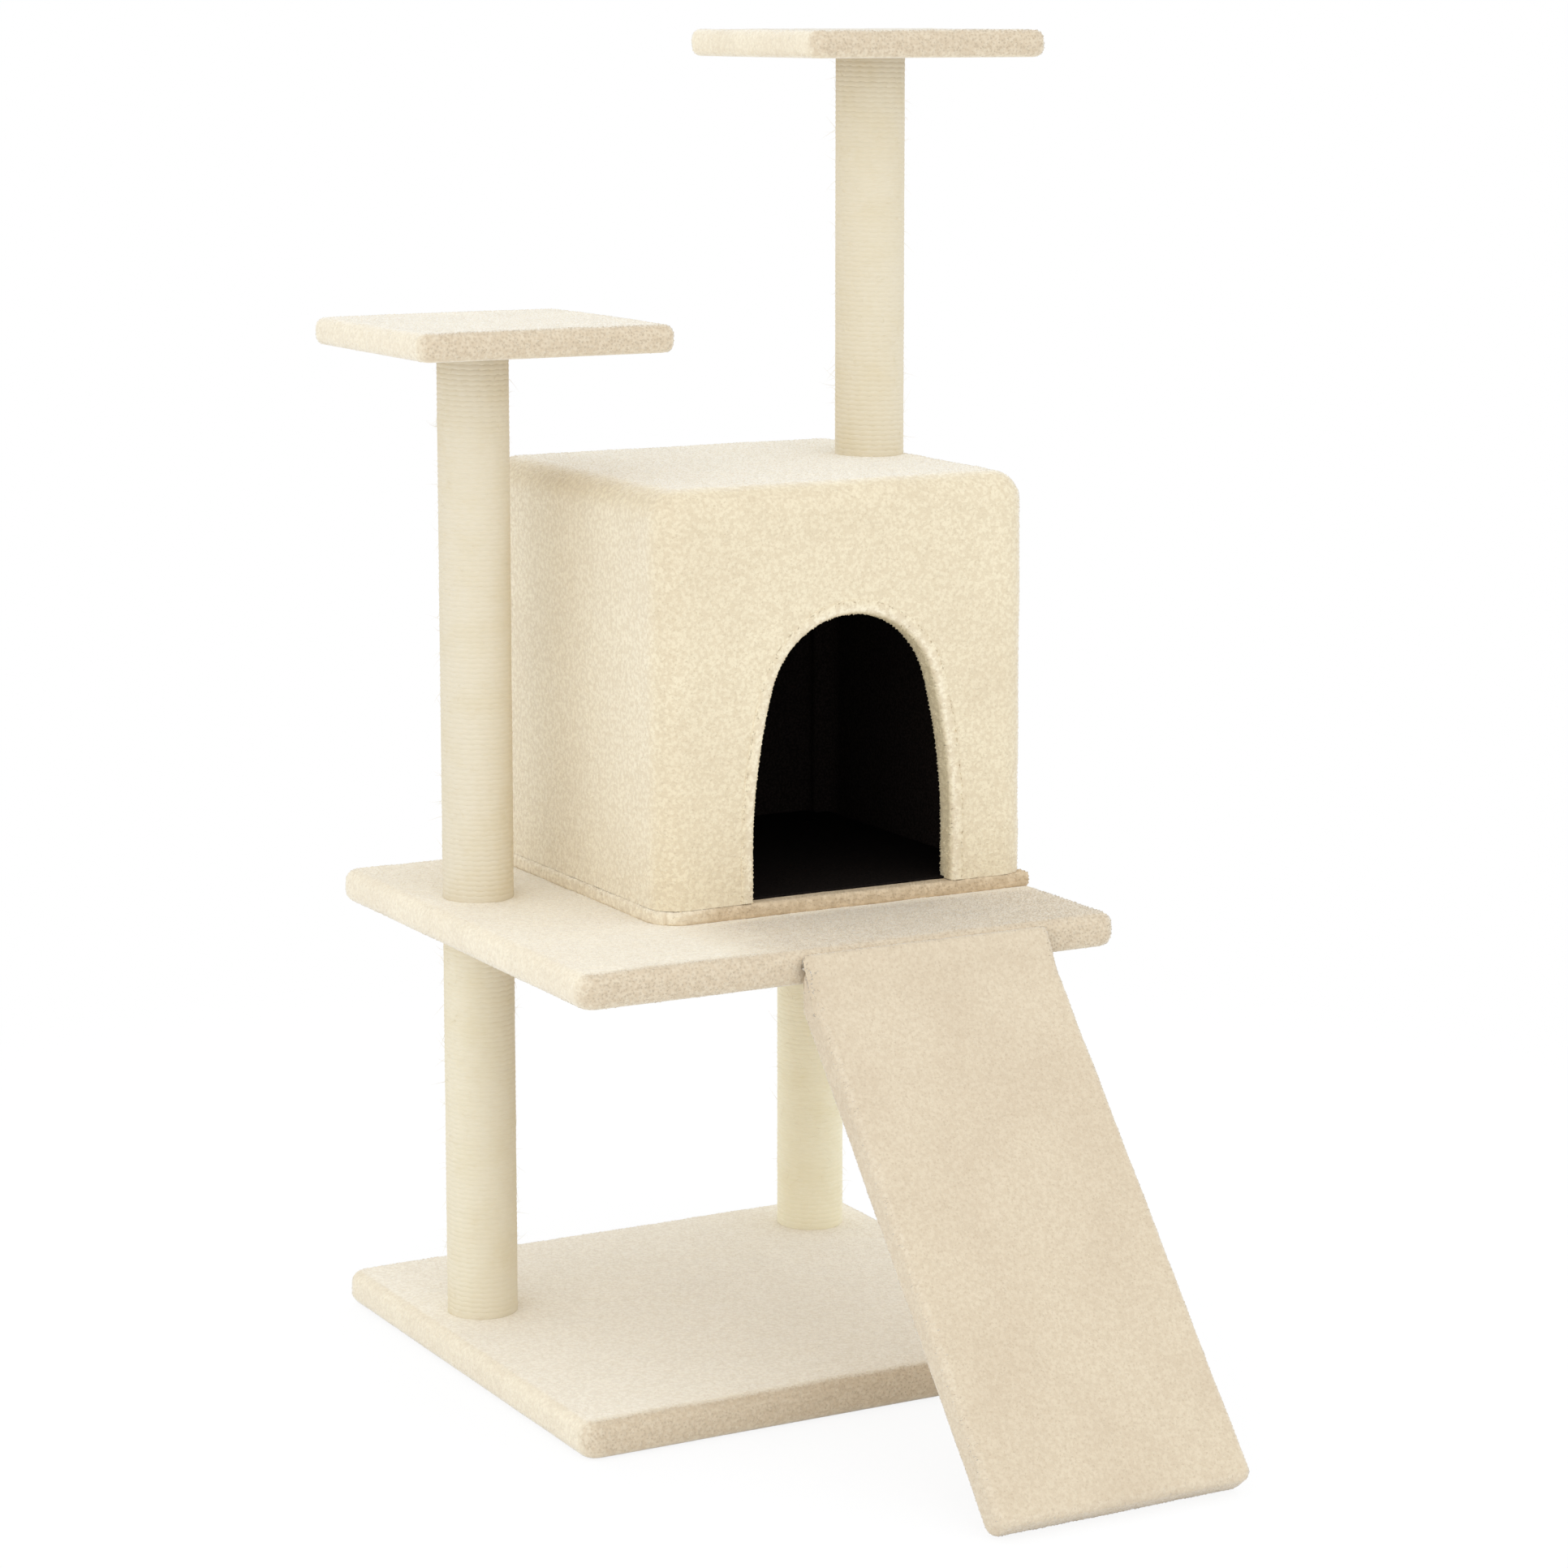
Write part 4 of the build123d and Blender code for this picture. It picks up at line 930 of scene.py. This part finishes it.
class CATTREE_OT_ramp(bpy.types.Operator):
    """Wraps the ramp in plush, cut square where it meets the shelf"""

    bl_idname = "cat_tree.ramp"
    bl_label = "Plush ramp"

    def execute(self, context):
        plush = context.scene.cat_tree_plush
        panel = frame["nodes"]["ramp_panel"].data
        largest = max(panel.polygons, key=lambda face: face.area)
        slope = math.atan2(abs(largest.normal.y), abs(largest.normal.z))
        hinge = Vector(frame["joints"][0]["pos_m"])
        laid = Matrix.Translation(hinge) @ Matrix.Rotation(slope, 4, "X")
        flat = laid.inverted()
        spots = np.array([flat @ vertex.co for vertex in frame["nodes"]["ramp_cover"].data.vertices])
        low, high = Vector(spots.min(0)), Vector(spots.max(0))
        inset = plush.inset
        head = high.y
        drop = math.tan(slope)
        past, squeeze, tail, ease = 0.024, 0.030, 0.0012, 0.12
        low = low + Vector((inset, inset, inset))
        high = Vector((high.x - inset, head + past, high.z - inset))
        core = np.array([flat @ vertex.co for vertex in panel.vertices])
        edge = plush.edge_round * RAMP_ROUND
        cloth = wrapped_board(low, high, plush.plan_round * RAMP_ROUND - inset, edge - inset, mesh_step(),
                              plush.fold_under, core[:, 2].min() - low.z, opened_and_shade=0.0, side_light=RAMP_SIDE_LIGHT)
        points = np.array(cloth.points)
        start = head + past - squeeze
        beyond = np.maximum(points[:, 1] - start, 0.0)
        points[:, 1] = np.minimum(points[:, 1], start) + beyond * (squeeze - past + tail) / squeeze
        near_head = np.clip((points[:, 1] - (head - ease)) / ease, 0, 1)
        points[:, 1] += near_head * drop * (points[:, 2] - high.z)
        cloth.points = [np.array(laid @ Vector(point)) for point in points]
        looks = looks_of("plush_ramp", plush_finish, RAMP_TONE)
        made, pile = dressed("ramp", cloth, "ramp", ["ramp_cover"], *looks, 11)
        self.flap(laid, low, high, edge * FLAP_CORNER, looks)
        return {"FINISHED"}

    def flap(self, laid, low, high, corner, looks):
        """A tongue of plush on the ramp's head, over the hinges and round their line."""
        step = mesh_step()
        reach, radius, sunk = 0.052, 0.0070, 0.0004
        start = high.z - sunk
        rows = []
        for share in np.linspace(0, 1, max(6, round(reach / step)) + 1)[:-1]:
            ease = share * share * (3 - 2 * share)
            rows.append((-reach * (1 - share), start + (radius - start) * ease))
        for angle in np.linspace(math.pi / 2, -math.pi / 3, 9):
            rows.append((radius * math.cos(angle), radius * math.sin(angle)))
        rows = np.array(rows)
        middle, half = (low.x + high.x) / 2, (high.x - low.x) / 2
        across = np.linspace(-half, half, max(12, round(2 * half / step)) + 1)
        past = np.clip((np.abs(across) - half + corner) / corner, 0, 1)
        fall = corner * (1 - np.sqrt(1 - past ** 2))
        points = np.zeros((len(across), len(rows), 3))
        points[..., 0] = middle + across[:, None]
        ahead = np.minimum(rows[:, 0], 0.0)
        far = np.hypot(rows[:, 0] - ahead, rows[:, 1])
        kept = np.maximum(far[None, :] - fall[:, None], 0.001) / np.maximum(far[None, :], 0.001)
        head = rows[:, 0] >= 0
        points[..., 1] = np.where(head, rows[:, 0] * kept, rows[:, 0])
        points[..., 2] = np.where(head, rows[:, 1] * kept, rows[:, 1] - fall[:, None])
        cloth = Cloth()
        cloth.patch(points, lambda at: np.array([0.0, 0.3, 1.0]), 0.0, 0.5, 1.0)
        cloth.points = [np.array(laid @ Vector(point)) for point in cloth.points]
        made, pile = dressed("ramp_head", cloth, "ramp", [], *looks, 13)


class CATTREE_OT_cleat(bpy.types.Operator):
    """Covers the cleat under the shelf's front edge"""

    bl_idname = "cat_tree.cleat"
    bl_label = "Plush cleat"

    def execute(self, context):
        plush = context.scene.cat_tree_plush
        low, high = shrunk("cleat_cover", plush.inset)
        high.z += plush.inset
        plan_round, edge_round, fold, rise = 0.0085, 0.0065, 0.001, 0.002
        cloth = wrapped_board(low, high, plan_round, edge_round, mesh_step(), fold, rise)
        points = np.array(cloth.points)
        points[:, 2] = low.z + high.z - points[:, 2]
        cloth.points = list(points)
        cloth.faces = [face[::-1] for face in cloth.faces]
        made, pile = dressed("cleat", cloth, "frame", ["cleat_cover"], *looks_of("plush", plush_finish), 12)
        return {"FINISHED"}


class Doorway:
    """The arched doorway in the house's front wall."""

    def __init__(self):
        house = bpy.context.scene.cat_tree_house
        low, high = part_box("door_trim")
        self.middle = (low.x + high.x) / 2
        self.half = (high.x - low.x) / 2 - house.trim
        self.floor = low.z
        self.height = high.z - low.z - house.trim
        self.back = high.y
        self.roll = house.door_round
        self.crown = self.half - house.door_shoulder
        rise = self.height - self.crown - house.door_spring
        self.side = (self.half ** 2 + rise ** 2 - self.crown ** 2) / (2 * (self.half - self.crown))
        self.turn = math.atan2(rise, self.side - self.half)
        self.spring = low.z + house.door_spring
        self.crown_z = self.spring + rise

    def left_half(self, grow):
        """Dense points (x, z) up the left jamb to the crown's top, larger by grow."""
        jamb = np.linspace(self.floor, self.spring, 12, endpoint=False)
        points = [(self.middle - self.half - grow, z) for z in jamb]
        radius = self.side + grow
        for angle in np.linspace(0, self.turn, 60, endpoint=False):
            points.append((self.middle - (self.half - self.side + radius * math.cos(angle)),
                           self.spring + radius * math.sin(angle)))
        radius = self.crown + grow
        for angle in np.linspace(self.turn, math.pi / 2, 60):
            points.append((self.middle - radius * math.cos(angle), self.crown_z + radius * math.sin(angle)))
        return np.array(points)

    def line(self, grow, up, over):
        """Points round the arch: up cells on each side, and over cells across the crown."""
        half = self.left_half(grow)
        shoulder = int(np.argmin(np.abs(half[:, 0] - self.middle + (half[:, 1] - self.crown_z)) +
                                 1000.0 * (half[:, 1] < self.crown_z)))
        left = spaced(half[:shoulder + 1], up)
        crown = np.concatenate([half[shoulder:], mirrored(half[shoulder:], self.middle)[::-1][1:]])
        return np.concatenate([left[:-1], spaced(crown, over), mirrored(left, self.middle)[::-1][1:]])


def outline(left, right, rise, across, top):
    """Points (x, z) up one side, across the top and down the other side."""
    return np.concatenate([np.stack([np.full(len(rise) - 1, left), rise[:-1]], -1),
                           np.stack([across, np.full(len(across), top)], -1),
                           np.stack([np.full(len(rise) - 1, right), rise[::-1][1:]], -1)])


def mirrored(points, middle):
    """Points (x, z) on the other side of an upright line."""
    return np.stack([2 * middle - points[:, 0], points[:, 1]], axis=-1)


def spaced(points, cells):
    """A line again, as that many equal cells."""
    steps = np.concatenate([[0.0], np.cumsum(np.linalg.norm(np.diff(points, axis=0), axis=1))])
    at = np.linspace(0, steps[-1], cells + 1)
    return np.stack([np.interp(at, steps, points[:, k]) for k in range(points.shape[1])], axis=-1)


def at_y(points, y):
    """Points (x, z) as points in space at a depth y."""
    return np.stack([points[..., 0], np.broadcast_to(y, points.shape[:-1]), points[..., 1]], axis=-1)


class CATTREE_OT_house(bpy.types.Operator):
    """Makes the house's plush, its doorway trim, a near-black lining and mat as painted shade inside, and its
    carpeted floor
    """

    bl_idname = "cat_tree.house"
    bl_label = "House"

    def execute(self, context):
        plush = context.scene.cat_tree_plush
        house = context.scene.cat_tree_house
        door = Doorway()
        low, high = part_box("house_cover")
        inset = plush.inset
        low, high = low + Vector((inset, inset, 0)), high - Vector((inset, inset, inset))
        step = mesh_step()
        size = high - low
        over, deep, up = (max(8, round(length / step)) for length in size)
        looks = looks_of("plush_house", plush_finish, HOUSE_TONE, HOUSE_DEPTH)
        cloth = self.cover(low, high, door, up, over, deep, step, house.edge_round - inset)
        made, pile = dressed("house", cloth, "frame", ["house_cover"], *looks, 21, relief=1.15, tufts=0.93)
        self.trim(door, up, over, low.y, house)
        self.lining(door, up, over, house)
        self.carpet(house, step)
        return {"FINISHED"}

    def cover(self, low, high, door, up, over, deep, step, radius):
        """One skin over the front, sides, back and roof, open below, with its doorway rolled in."""
        cloth = Cloth()
        middle = np.array((low + high) / 2)
        rise = np.linspace(low.z, high.z, up + 1)
        across = np.linspace(low.x, high.x, over + 1)
        back = np.linspace(low.y, high.y, deep + 1)

        def wall(first, second, shape):
            return np.stack([np.broadcast_to(part, (len(first), len(second))) for part in shape], axis=-1)

        patches = []
        for x in (low.x, high.x):
            patches.append(wall(rise, back, (x, back[None, :], rise[:, None])))
        patches.append(wall(rise, across, (across[None, :], high.y, rise[:, None])))
        patches.append(wall(across, back, (across[:, None], back[None, :], high.z)))
        arch = door.line(door.roll, up, over)
        outer = outline(low.x, high.x, rise, across, high.z)
        strips = max(8, round((high.z - door.floor - door.height) / step))
        share = np.linspace(0, 1, strips + 1)[None, :, None]
        front = at_y(arch[:, None] * (1 - share) + outer[:, None] * share, low.y)
        patches.append(front)
        for points in patches:
            flat = np.clip((points[..., 2] - high.z) / TOP_BAND + 1.0, 0, 1)
            inwards = np.minimum(points[..., 0] - low.x, high.x - points[..., 0])
            side = np.clip(1.0 - inwards / TOP_BAND, 0, 1)
            points, bend = self.rounded(points, low, high, radius)
            # The roof and side walls are lightened as painted light.
            painted_light = HOUSE_ROOF_LIGHT * flat + HOUSE_SIDE_LIGHT * side
            cloth.patch(points, lambda at: at - middle, bend * EDGE_OPENED - painted_light * (1 - bend))
        return cloth

    def rounded(self, points, low, high, radius):
        """Box points drawn in to its rounded edges, and how much each is bent."""
        near = np.array([low.x + radius, low.y + radius, -9.0])
        far = np.array([high.x - radius, high.y - radius, high.z - radius])
        kept = np.clip(points, near, far)
        out = points - kept
        length = np.linalg.norm(out, axis=-1, keepdims=True)
        made = kept + out / np.maximum(length, 1e-9) * radius
        outside = np.sort(np.abs(out), axis=-1)[..., 1] / radius
        return made, np.clip(outside * 1.5, 0, 1)

    def trim(self, door, up, over, front, house):
        """The hem of plush that lines the doorway, turns its edge and ends on the front."""
        cloth = Cloth()
        roll, hem = door.roll, house.door_hem
        rise, lip, swell, tucked, turned_in = 0.0007, 0.0018, 0.0003, 0.0012, 0.006
        edge = front - rise
        # Each ring's last value: 1 turns the plush to the reveal's tan painted shade, and values below zero
        # lighten the rolled edge and hem as a painted highlight.
        rings = [(grow, door.back - ahead, 1.0)
                 for grow, ahead in ((0.0055, 0.0), (0.0022, 0.0007), (0.0006, 0.003))]
        for y in np.linspace(door.back - turned_in, edge + roll, 5):
            rings.append((0.0, y, 1.0))
        for angle in np.linspace(0, math.pi / 2, 7)[1:]:
            rings.append((roll * (1 - math.cos(angle)), edge + roll * (1 - math.sin(angle)),
                          1.0 - 1.25 * math.sin(angle)))
        for share in (0.45, 0.75):
            rings.append((roll + (hem - roll) * share, edge - swell, share * 0.3 - 0.25))
        for angle in np.linspace(math.pi / 2, 0, 5)[1:]:
            rings.append((hem + lip * math.cos(angle), edge + lip * (1 - math.sin(angle)), 0.0))
        rings.append((hem + lip, front + tucked, 0.0))
        points = np.stack([at_y(door.line(grow, up, over), y) for grow, y, bend in rings], axis=1)
        points[..., 2] = np.maximum(points[..., 2], door.floor + 0.0006)
        middle = np.array([door.middle, front - 0.05, door.crown_z - 0.08])
        bend = np.broadcast_to(np.array([bend for grow, y, bend in rings]), points.shape[:2])
        cloth.patch(points, lambda at: middle - at, bend, 0.35, 1.0)
        looks = looks_of("door_trim", two_tone_finish, HOUSE_TONE, house.reveal)
        made, pile = dressed("door_trim", cloth, "frame", ["door_trim"], *looks, 22)

    def lining(self, door, up, over, house):
        """Near-black cloth on the walls, round the corner battens and under the roof, as painted shade inside
        the house.
        """
        low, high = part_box("house_lining")
        thick, batten = 0.0018, 0.018
        x0, x1, y0, y1 = low.x + thick, high.x - thick, low.y + thick, high.y - thick
        top, s = high.z - thick, batten
        plan = [(x0 + s, y0), (x0 + s, y0 + s), (x0, y0 + s), (x0, y1 - s), (x0 + s, y1 - s), (x0 + s, y1),
                (x1 - s, y1), (x1 - s, y1 - s), (x1, y1 - s), (x1, y0 + s), (x1 - s, y0 + s), (x1 - s, y0)]
        cloth = Cloth()
        centre = np.array([(x0 + x1) / 2, (y0 + y1) / 2, (low.z + top) / 2])
        rise = np.linspace(low.z, top, 20)
        for (ax, ay), (bx, by) in zip(plan[:-1], plan[1:]):
            cells = max(2, round(math.hypot(bx - ax, by - ay) / 0.02))
            along = np.stack([np.linspace(ax, bx, cells + 1), np.linspace(ay, by, cells + 1)], -1)
            points = np.concatenate([np.broadcast_to(along[:, None], (cells + 1, 20, 2)),
                                     np.broadcast_to(rise[None, :, None], (cells + 1, 20, 1))], axis=-1)
            cloth.patch(points, lambda at: centre - at)
        first = cloth.add([np.array([x, y, top]) for x, y in plan], 0, 0, 0)
        cloth.faces.append(first[::-1].tolist())
        arch = door.line(0.0062, up // 4, over // 4)
        outer = outline(x0 + s, x1 - s, np.linspace(low.z, top, up // 4 + 1),
                        np.linspace(x0 + s, x1 - s, over // 4 + 1), top)
        share = np.linspace(0, 1, 9)[None, :, None]
        front = at_y(arch[:, None] * (1 - share) + outer[:, None] * share, y0)
        cloth.patch(front, lambda at: np.array([0.0, 1.0, 0.0]))
        look = cloth_finish("lining_cloth", house.lining)
        made = laid_out("house_lining_cloth", cloth, look, "lining", "house_lining")

    def carpet(self, house, step):
        """Carpet glued over the floor plate and its edges, tan on the right, with pile along its rim."""
        low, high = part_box("house_floor_carpet")
        spare, below = Vector((0.0006, 0.0006, 0.0)), Vector((0, 0, 0.0030))
        plan_round, edge_round, fold, least_step = 0.006, 0.0042, 0.003, 0.004
        tan_from, tan_fade, pile_rim = 0.012, 0.05, 0.006
        cloth = wrapped_board(low - spare - below, high + spare, plan_round, edge_round,
                              max(step, least_step), fold, 0.0)
        points = np.array(cloth.points)
        for y, way in ((low.y + house.edge_round, -1), (high.y - house.edge_round, 1)):
            reach = points[:, :2] - np.array([low.x + house.edge_round, y])
            corner = (reach[:, 0] < 0) & (reach[:, 1] * way > 0)
            share = np.abs(reach).max(1) / np.maximum(np.linalg.norm(reach, axis=1), 1e-9)
            points[corner, :2] -= (reach * (1 - share[:, None]))[corner]
        inside = np.minimum(np.minimum(points[:, 0] - low.x, high.x - points[:, 0]), points[:, 1] - low.y)
        cloth.points = list(points)
        cloth.marks["bend"] = list(np.clip((points[:, 0] - low.x - tan_from) / tan_fade, 0, 1))
        cloth.marks["pile"] = list(((inside < pile_rim) & (points[:, 2] > low.z)).astype(float))
        cloth.marks["free"] = [0.5] * len(points)
        looks = looks_of("floor_carpet", two_tone_finish, PLAIN, house.carpet)
        made, pile = dressed("house_floor", cloth, "frame", ["house_floor_carpet"], *looks, 23, relief=1.2)
        self.mat(house, high.z)

    def mat(self, house, floor):
        """A near-black mat laid on the carpet inside the room, as painted shade on its floor."""
        low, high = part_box("house_lining")
        edge, threshold, sunk, thick, fold = 0.004, 0.006, 0.0002, 0.0024, 0.01
        low = Vector((low.x + edge, low.y - threshold, floor - sunk))
        high = Vector((high.x - edge, high.y - edge, floor + thick))
        plan_round, edge_round, step, rise = 0.006, 0.001, 0.008, 0.0008
        cloth = wrapped_board(low, high, plan_round, edge_round, step, fold, rise)
        made = laid_out("house_floor_mat", cloth, cloth_finish("mat_cloth", darker(house.lining)), "lining")


class CATTREE_OT_posts(bpy.types.Operator):
    """Winds sisal rope round the four posts and frays it"""

    bl_idname = "cat_tree.posts"
    bl_label = "Sisal posts"

    def execute(self, context):
        sisal = context.scene.cat_tree_sisal
        looks = {post: sisal_finish("sisal_rope_" + post, tone) for post, tone in ROPE_PAINTED_LIGHT.items()}
        stray = sisal_finish("sisal_fibre", FIBRE_TONE)
        for seed, name in enumerate(POSTS, 31):
            node = name + "_sisal"
            low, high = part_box(node)
            rise = sisal.rope * 0.36
            radius = (high.x - low.x) / 2 - rise
            foot = Vector(((low.x + high.x) / 2, (low.y + high.y) / 2, low.z - ROPE_OVER))
            values = {"Foot": foot, "Length": high.z - low.z + 2 * ROPE_OVER, "Radius": radius,
                      "Rope": sisal.rope,
                      "Strand": sisal.rope * 0.86, "Rise": rise, "Lobe": sisal.rope * 0.035,
                      "Points": sisal.points_per_turn, "Twist": math.tau / (sisal.rope * 2.2),
                      "Seed": float(seed), "Material": looks[name]}
            rope = grown(name + "_rope", bpy.data.meshes.new(name + "_line"), rope_winding(), values)
            values = {"Density": sisal.fibres, "Length": 0.015, "Thickness": 0.00017, "Seed": seed,
                      "Material": stray}
            fibres = grown(name + "_fibres", rope.data.copy(), stray_fibres(), values)
            finished(rope, "frame", "sisal", node)
            finished(fibres, "frame", "sisal")
        return {"FINISHED"}


class CATTREE_OT_fittings(bpy.types.Operator):
    """Gives the panels, plugs, tubes, hinges and fasteners their finishes"""

    bl_idname = "cat_tree.fittings"
    bl_label = "Boards and fittings"

    def execute(self, context):
        looks = {
            "panel_board": board_finish(
                "particle_board", (0.56, 0.42, 0.26), (0.36, 0.25, 0.14), 0.0035, 0.65, 0.8),
            "plug_wood": board_finish("plug_pine", (0.66, 0.48, 0.28), (0.48, 0.31, 0.15), 0.003, 0.1, 0.65),
            "cardboard": board_finish("tube_card", (0.47, 0.34, 0.20), (0.36, 0.25, 0.14), 0.0012, 0.35, 0.9),
            "hinge_steel": steel_finish("hinge_steel", (0.52, 0.41, 0.25), (0.37, 0.28, 0.17), 0.006),
            "zinc_steel": steel_finish("zinc_steel", (0.70, 0.71, 0.72), (0.52, 0.53, 0.55), 0.003),
            # The bolts inside the house are blackened as painted shade of the dark room.
            "dark_steel": steel_finish("dark_steel", (0.020, 0.020, 0.021), (0.012, 0.012, 0.012), 0.003),
        }
        kinds = (("panel_board", "_panel", "house_"), ("plug_wood", "_plugs", "_battens", "cleat_core"),
                 ("cardboard", "_tube"), ("hinge_steel", "hinge_"),
                 ("zinc_steel", "bolt", "screw", "washer", "stud", "insert", "tee_nut"),
                 ("dark_steel", "shelf_bolt", "roof_bolt"))
        for name, node in frame["nodes"].items():
            if node.hide_render:
                continue
            slots = [slot for slot, *words in kinds if any(word in name for word in words)]
            if not slots:
                raise RuntimeError(f"no finish for {name}")
            node.data.materials.clear()
            node.data.materials.append(looks[slots[-1]])
        return {"FINISHED"}


class CATTREE_PT_panel(bpy.types.Panel):
    """Lists the steps and the sizes and colours they use"""

    bl_label = "Cat Tree"
    bl_idname = "CATTREE_PT_panel"
    bl_space_type = "VIEW_3D"
    bl_region_type = "UI"
    bl_category = "Cat Tree"

    def draw(self, context):
        for step in STEPS:
            self.layout.operator(step.bl_idname)
        for key, group in SETTINGS.items():
            box = self.layout.box()
            for name in group.__annotations__:
                box.prop(getattr(context.scene, key), name)


SETTINGS = {"cat_tree_plush": PlushSettings, "cat_tree_sisal": SisalSettings, "cat_tree_house": HouseSettings,
            "cat_tree_stage": StageSettings}
STEPS = (CATTREE_OT_stage, CATTREE_OT_boards, CATTREE_OT_ramp, CATTREE_OT_cleat, CATTREE_OT_house,
         CATTREE_OT_posts, CATTREE_OT_fittings)


def register():
    """Makes the settings, the steps and the panel known to Blender."""
    for made in (*SETTINGS.values(), *STEPS, CATTREE_PT_panel):
        bpy.utils.register_class(made)
    for key, group in SETTINGS.items():
        setattr(bpy.types.Scene, key, bpy.props.PointerProperty(type=group))


def unregister():
    """Takes the panel, the steps and the settings out again."""
    for key in SETTINGS:
        delattr(bpy.types.Scene, key)
    for made in reversed((*SETTINGS.values(), *STEPS, CATTREE_PT_panel)):
        bpy.utils.unregister_class(made)


def main():
    """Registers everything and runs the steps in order."""
    register()
    for step in STEPS:
        group, name = step.bl_idname.split(".")
        getattr(getattr(bpy.ops, group), name)()


if __name__ == "__main__":
    main()
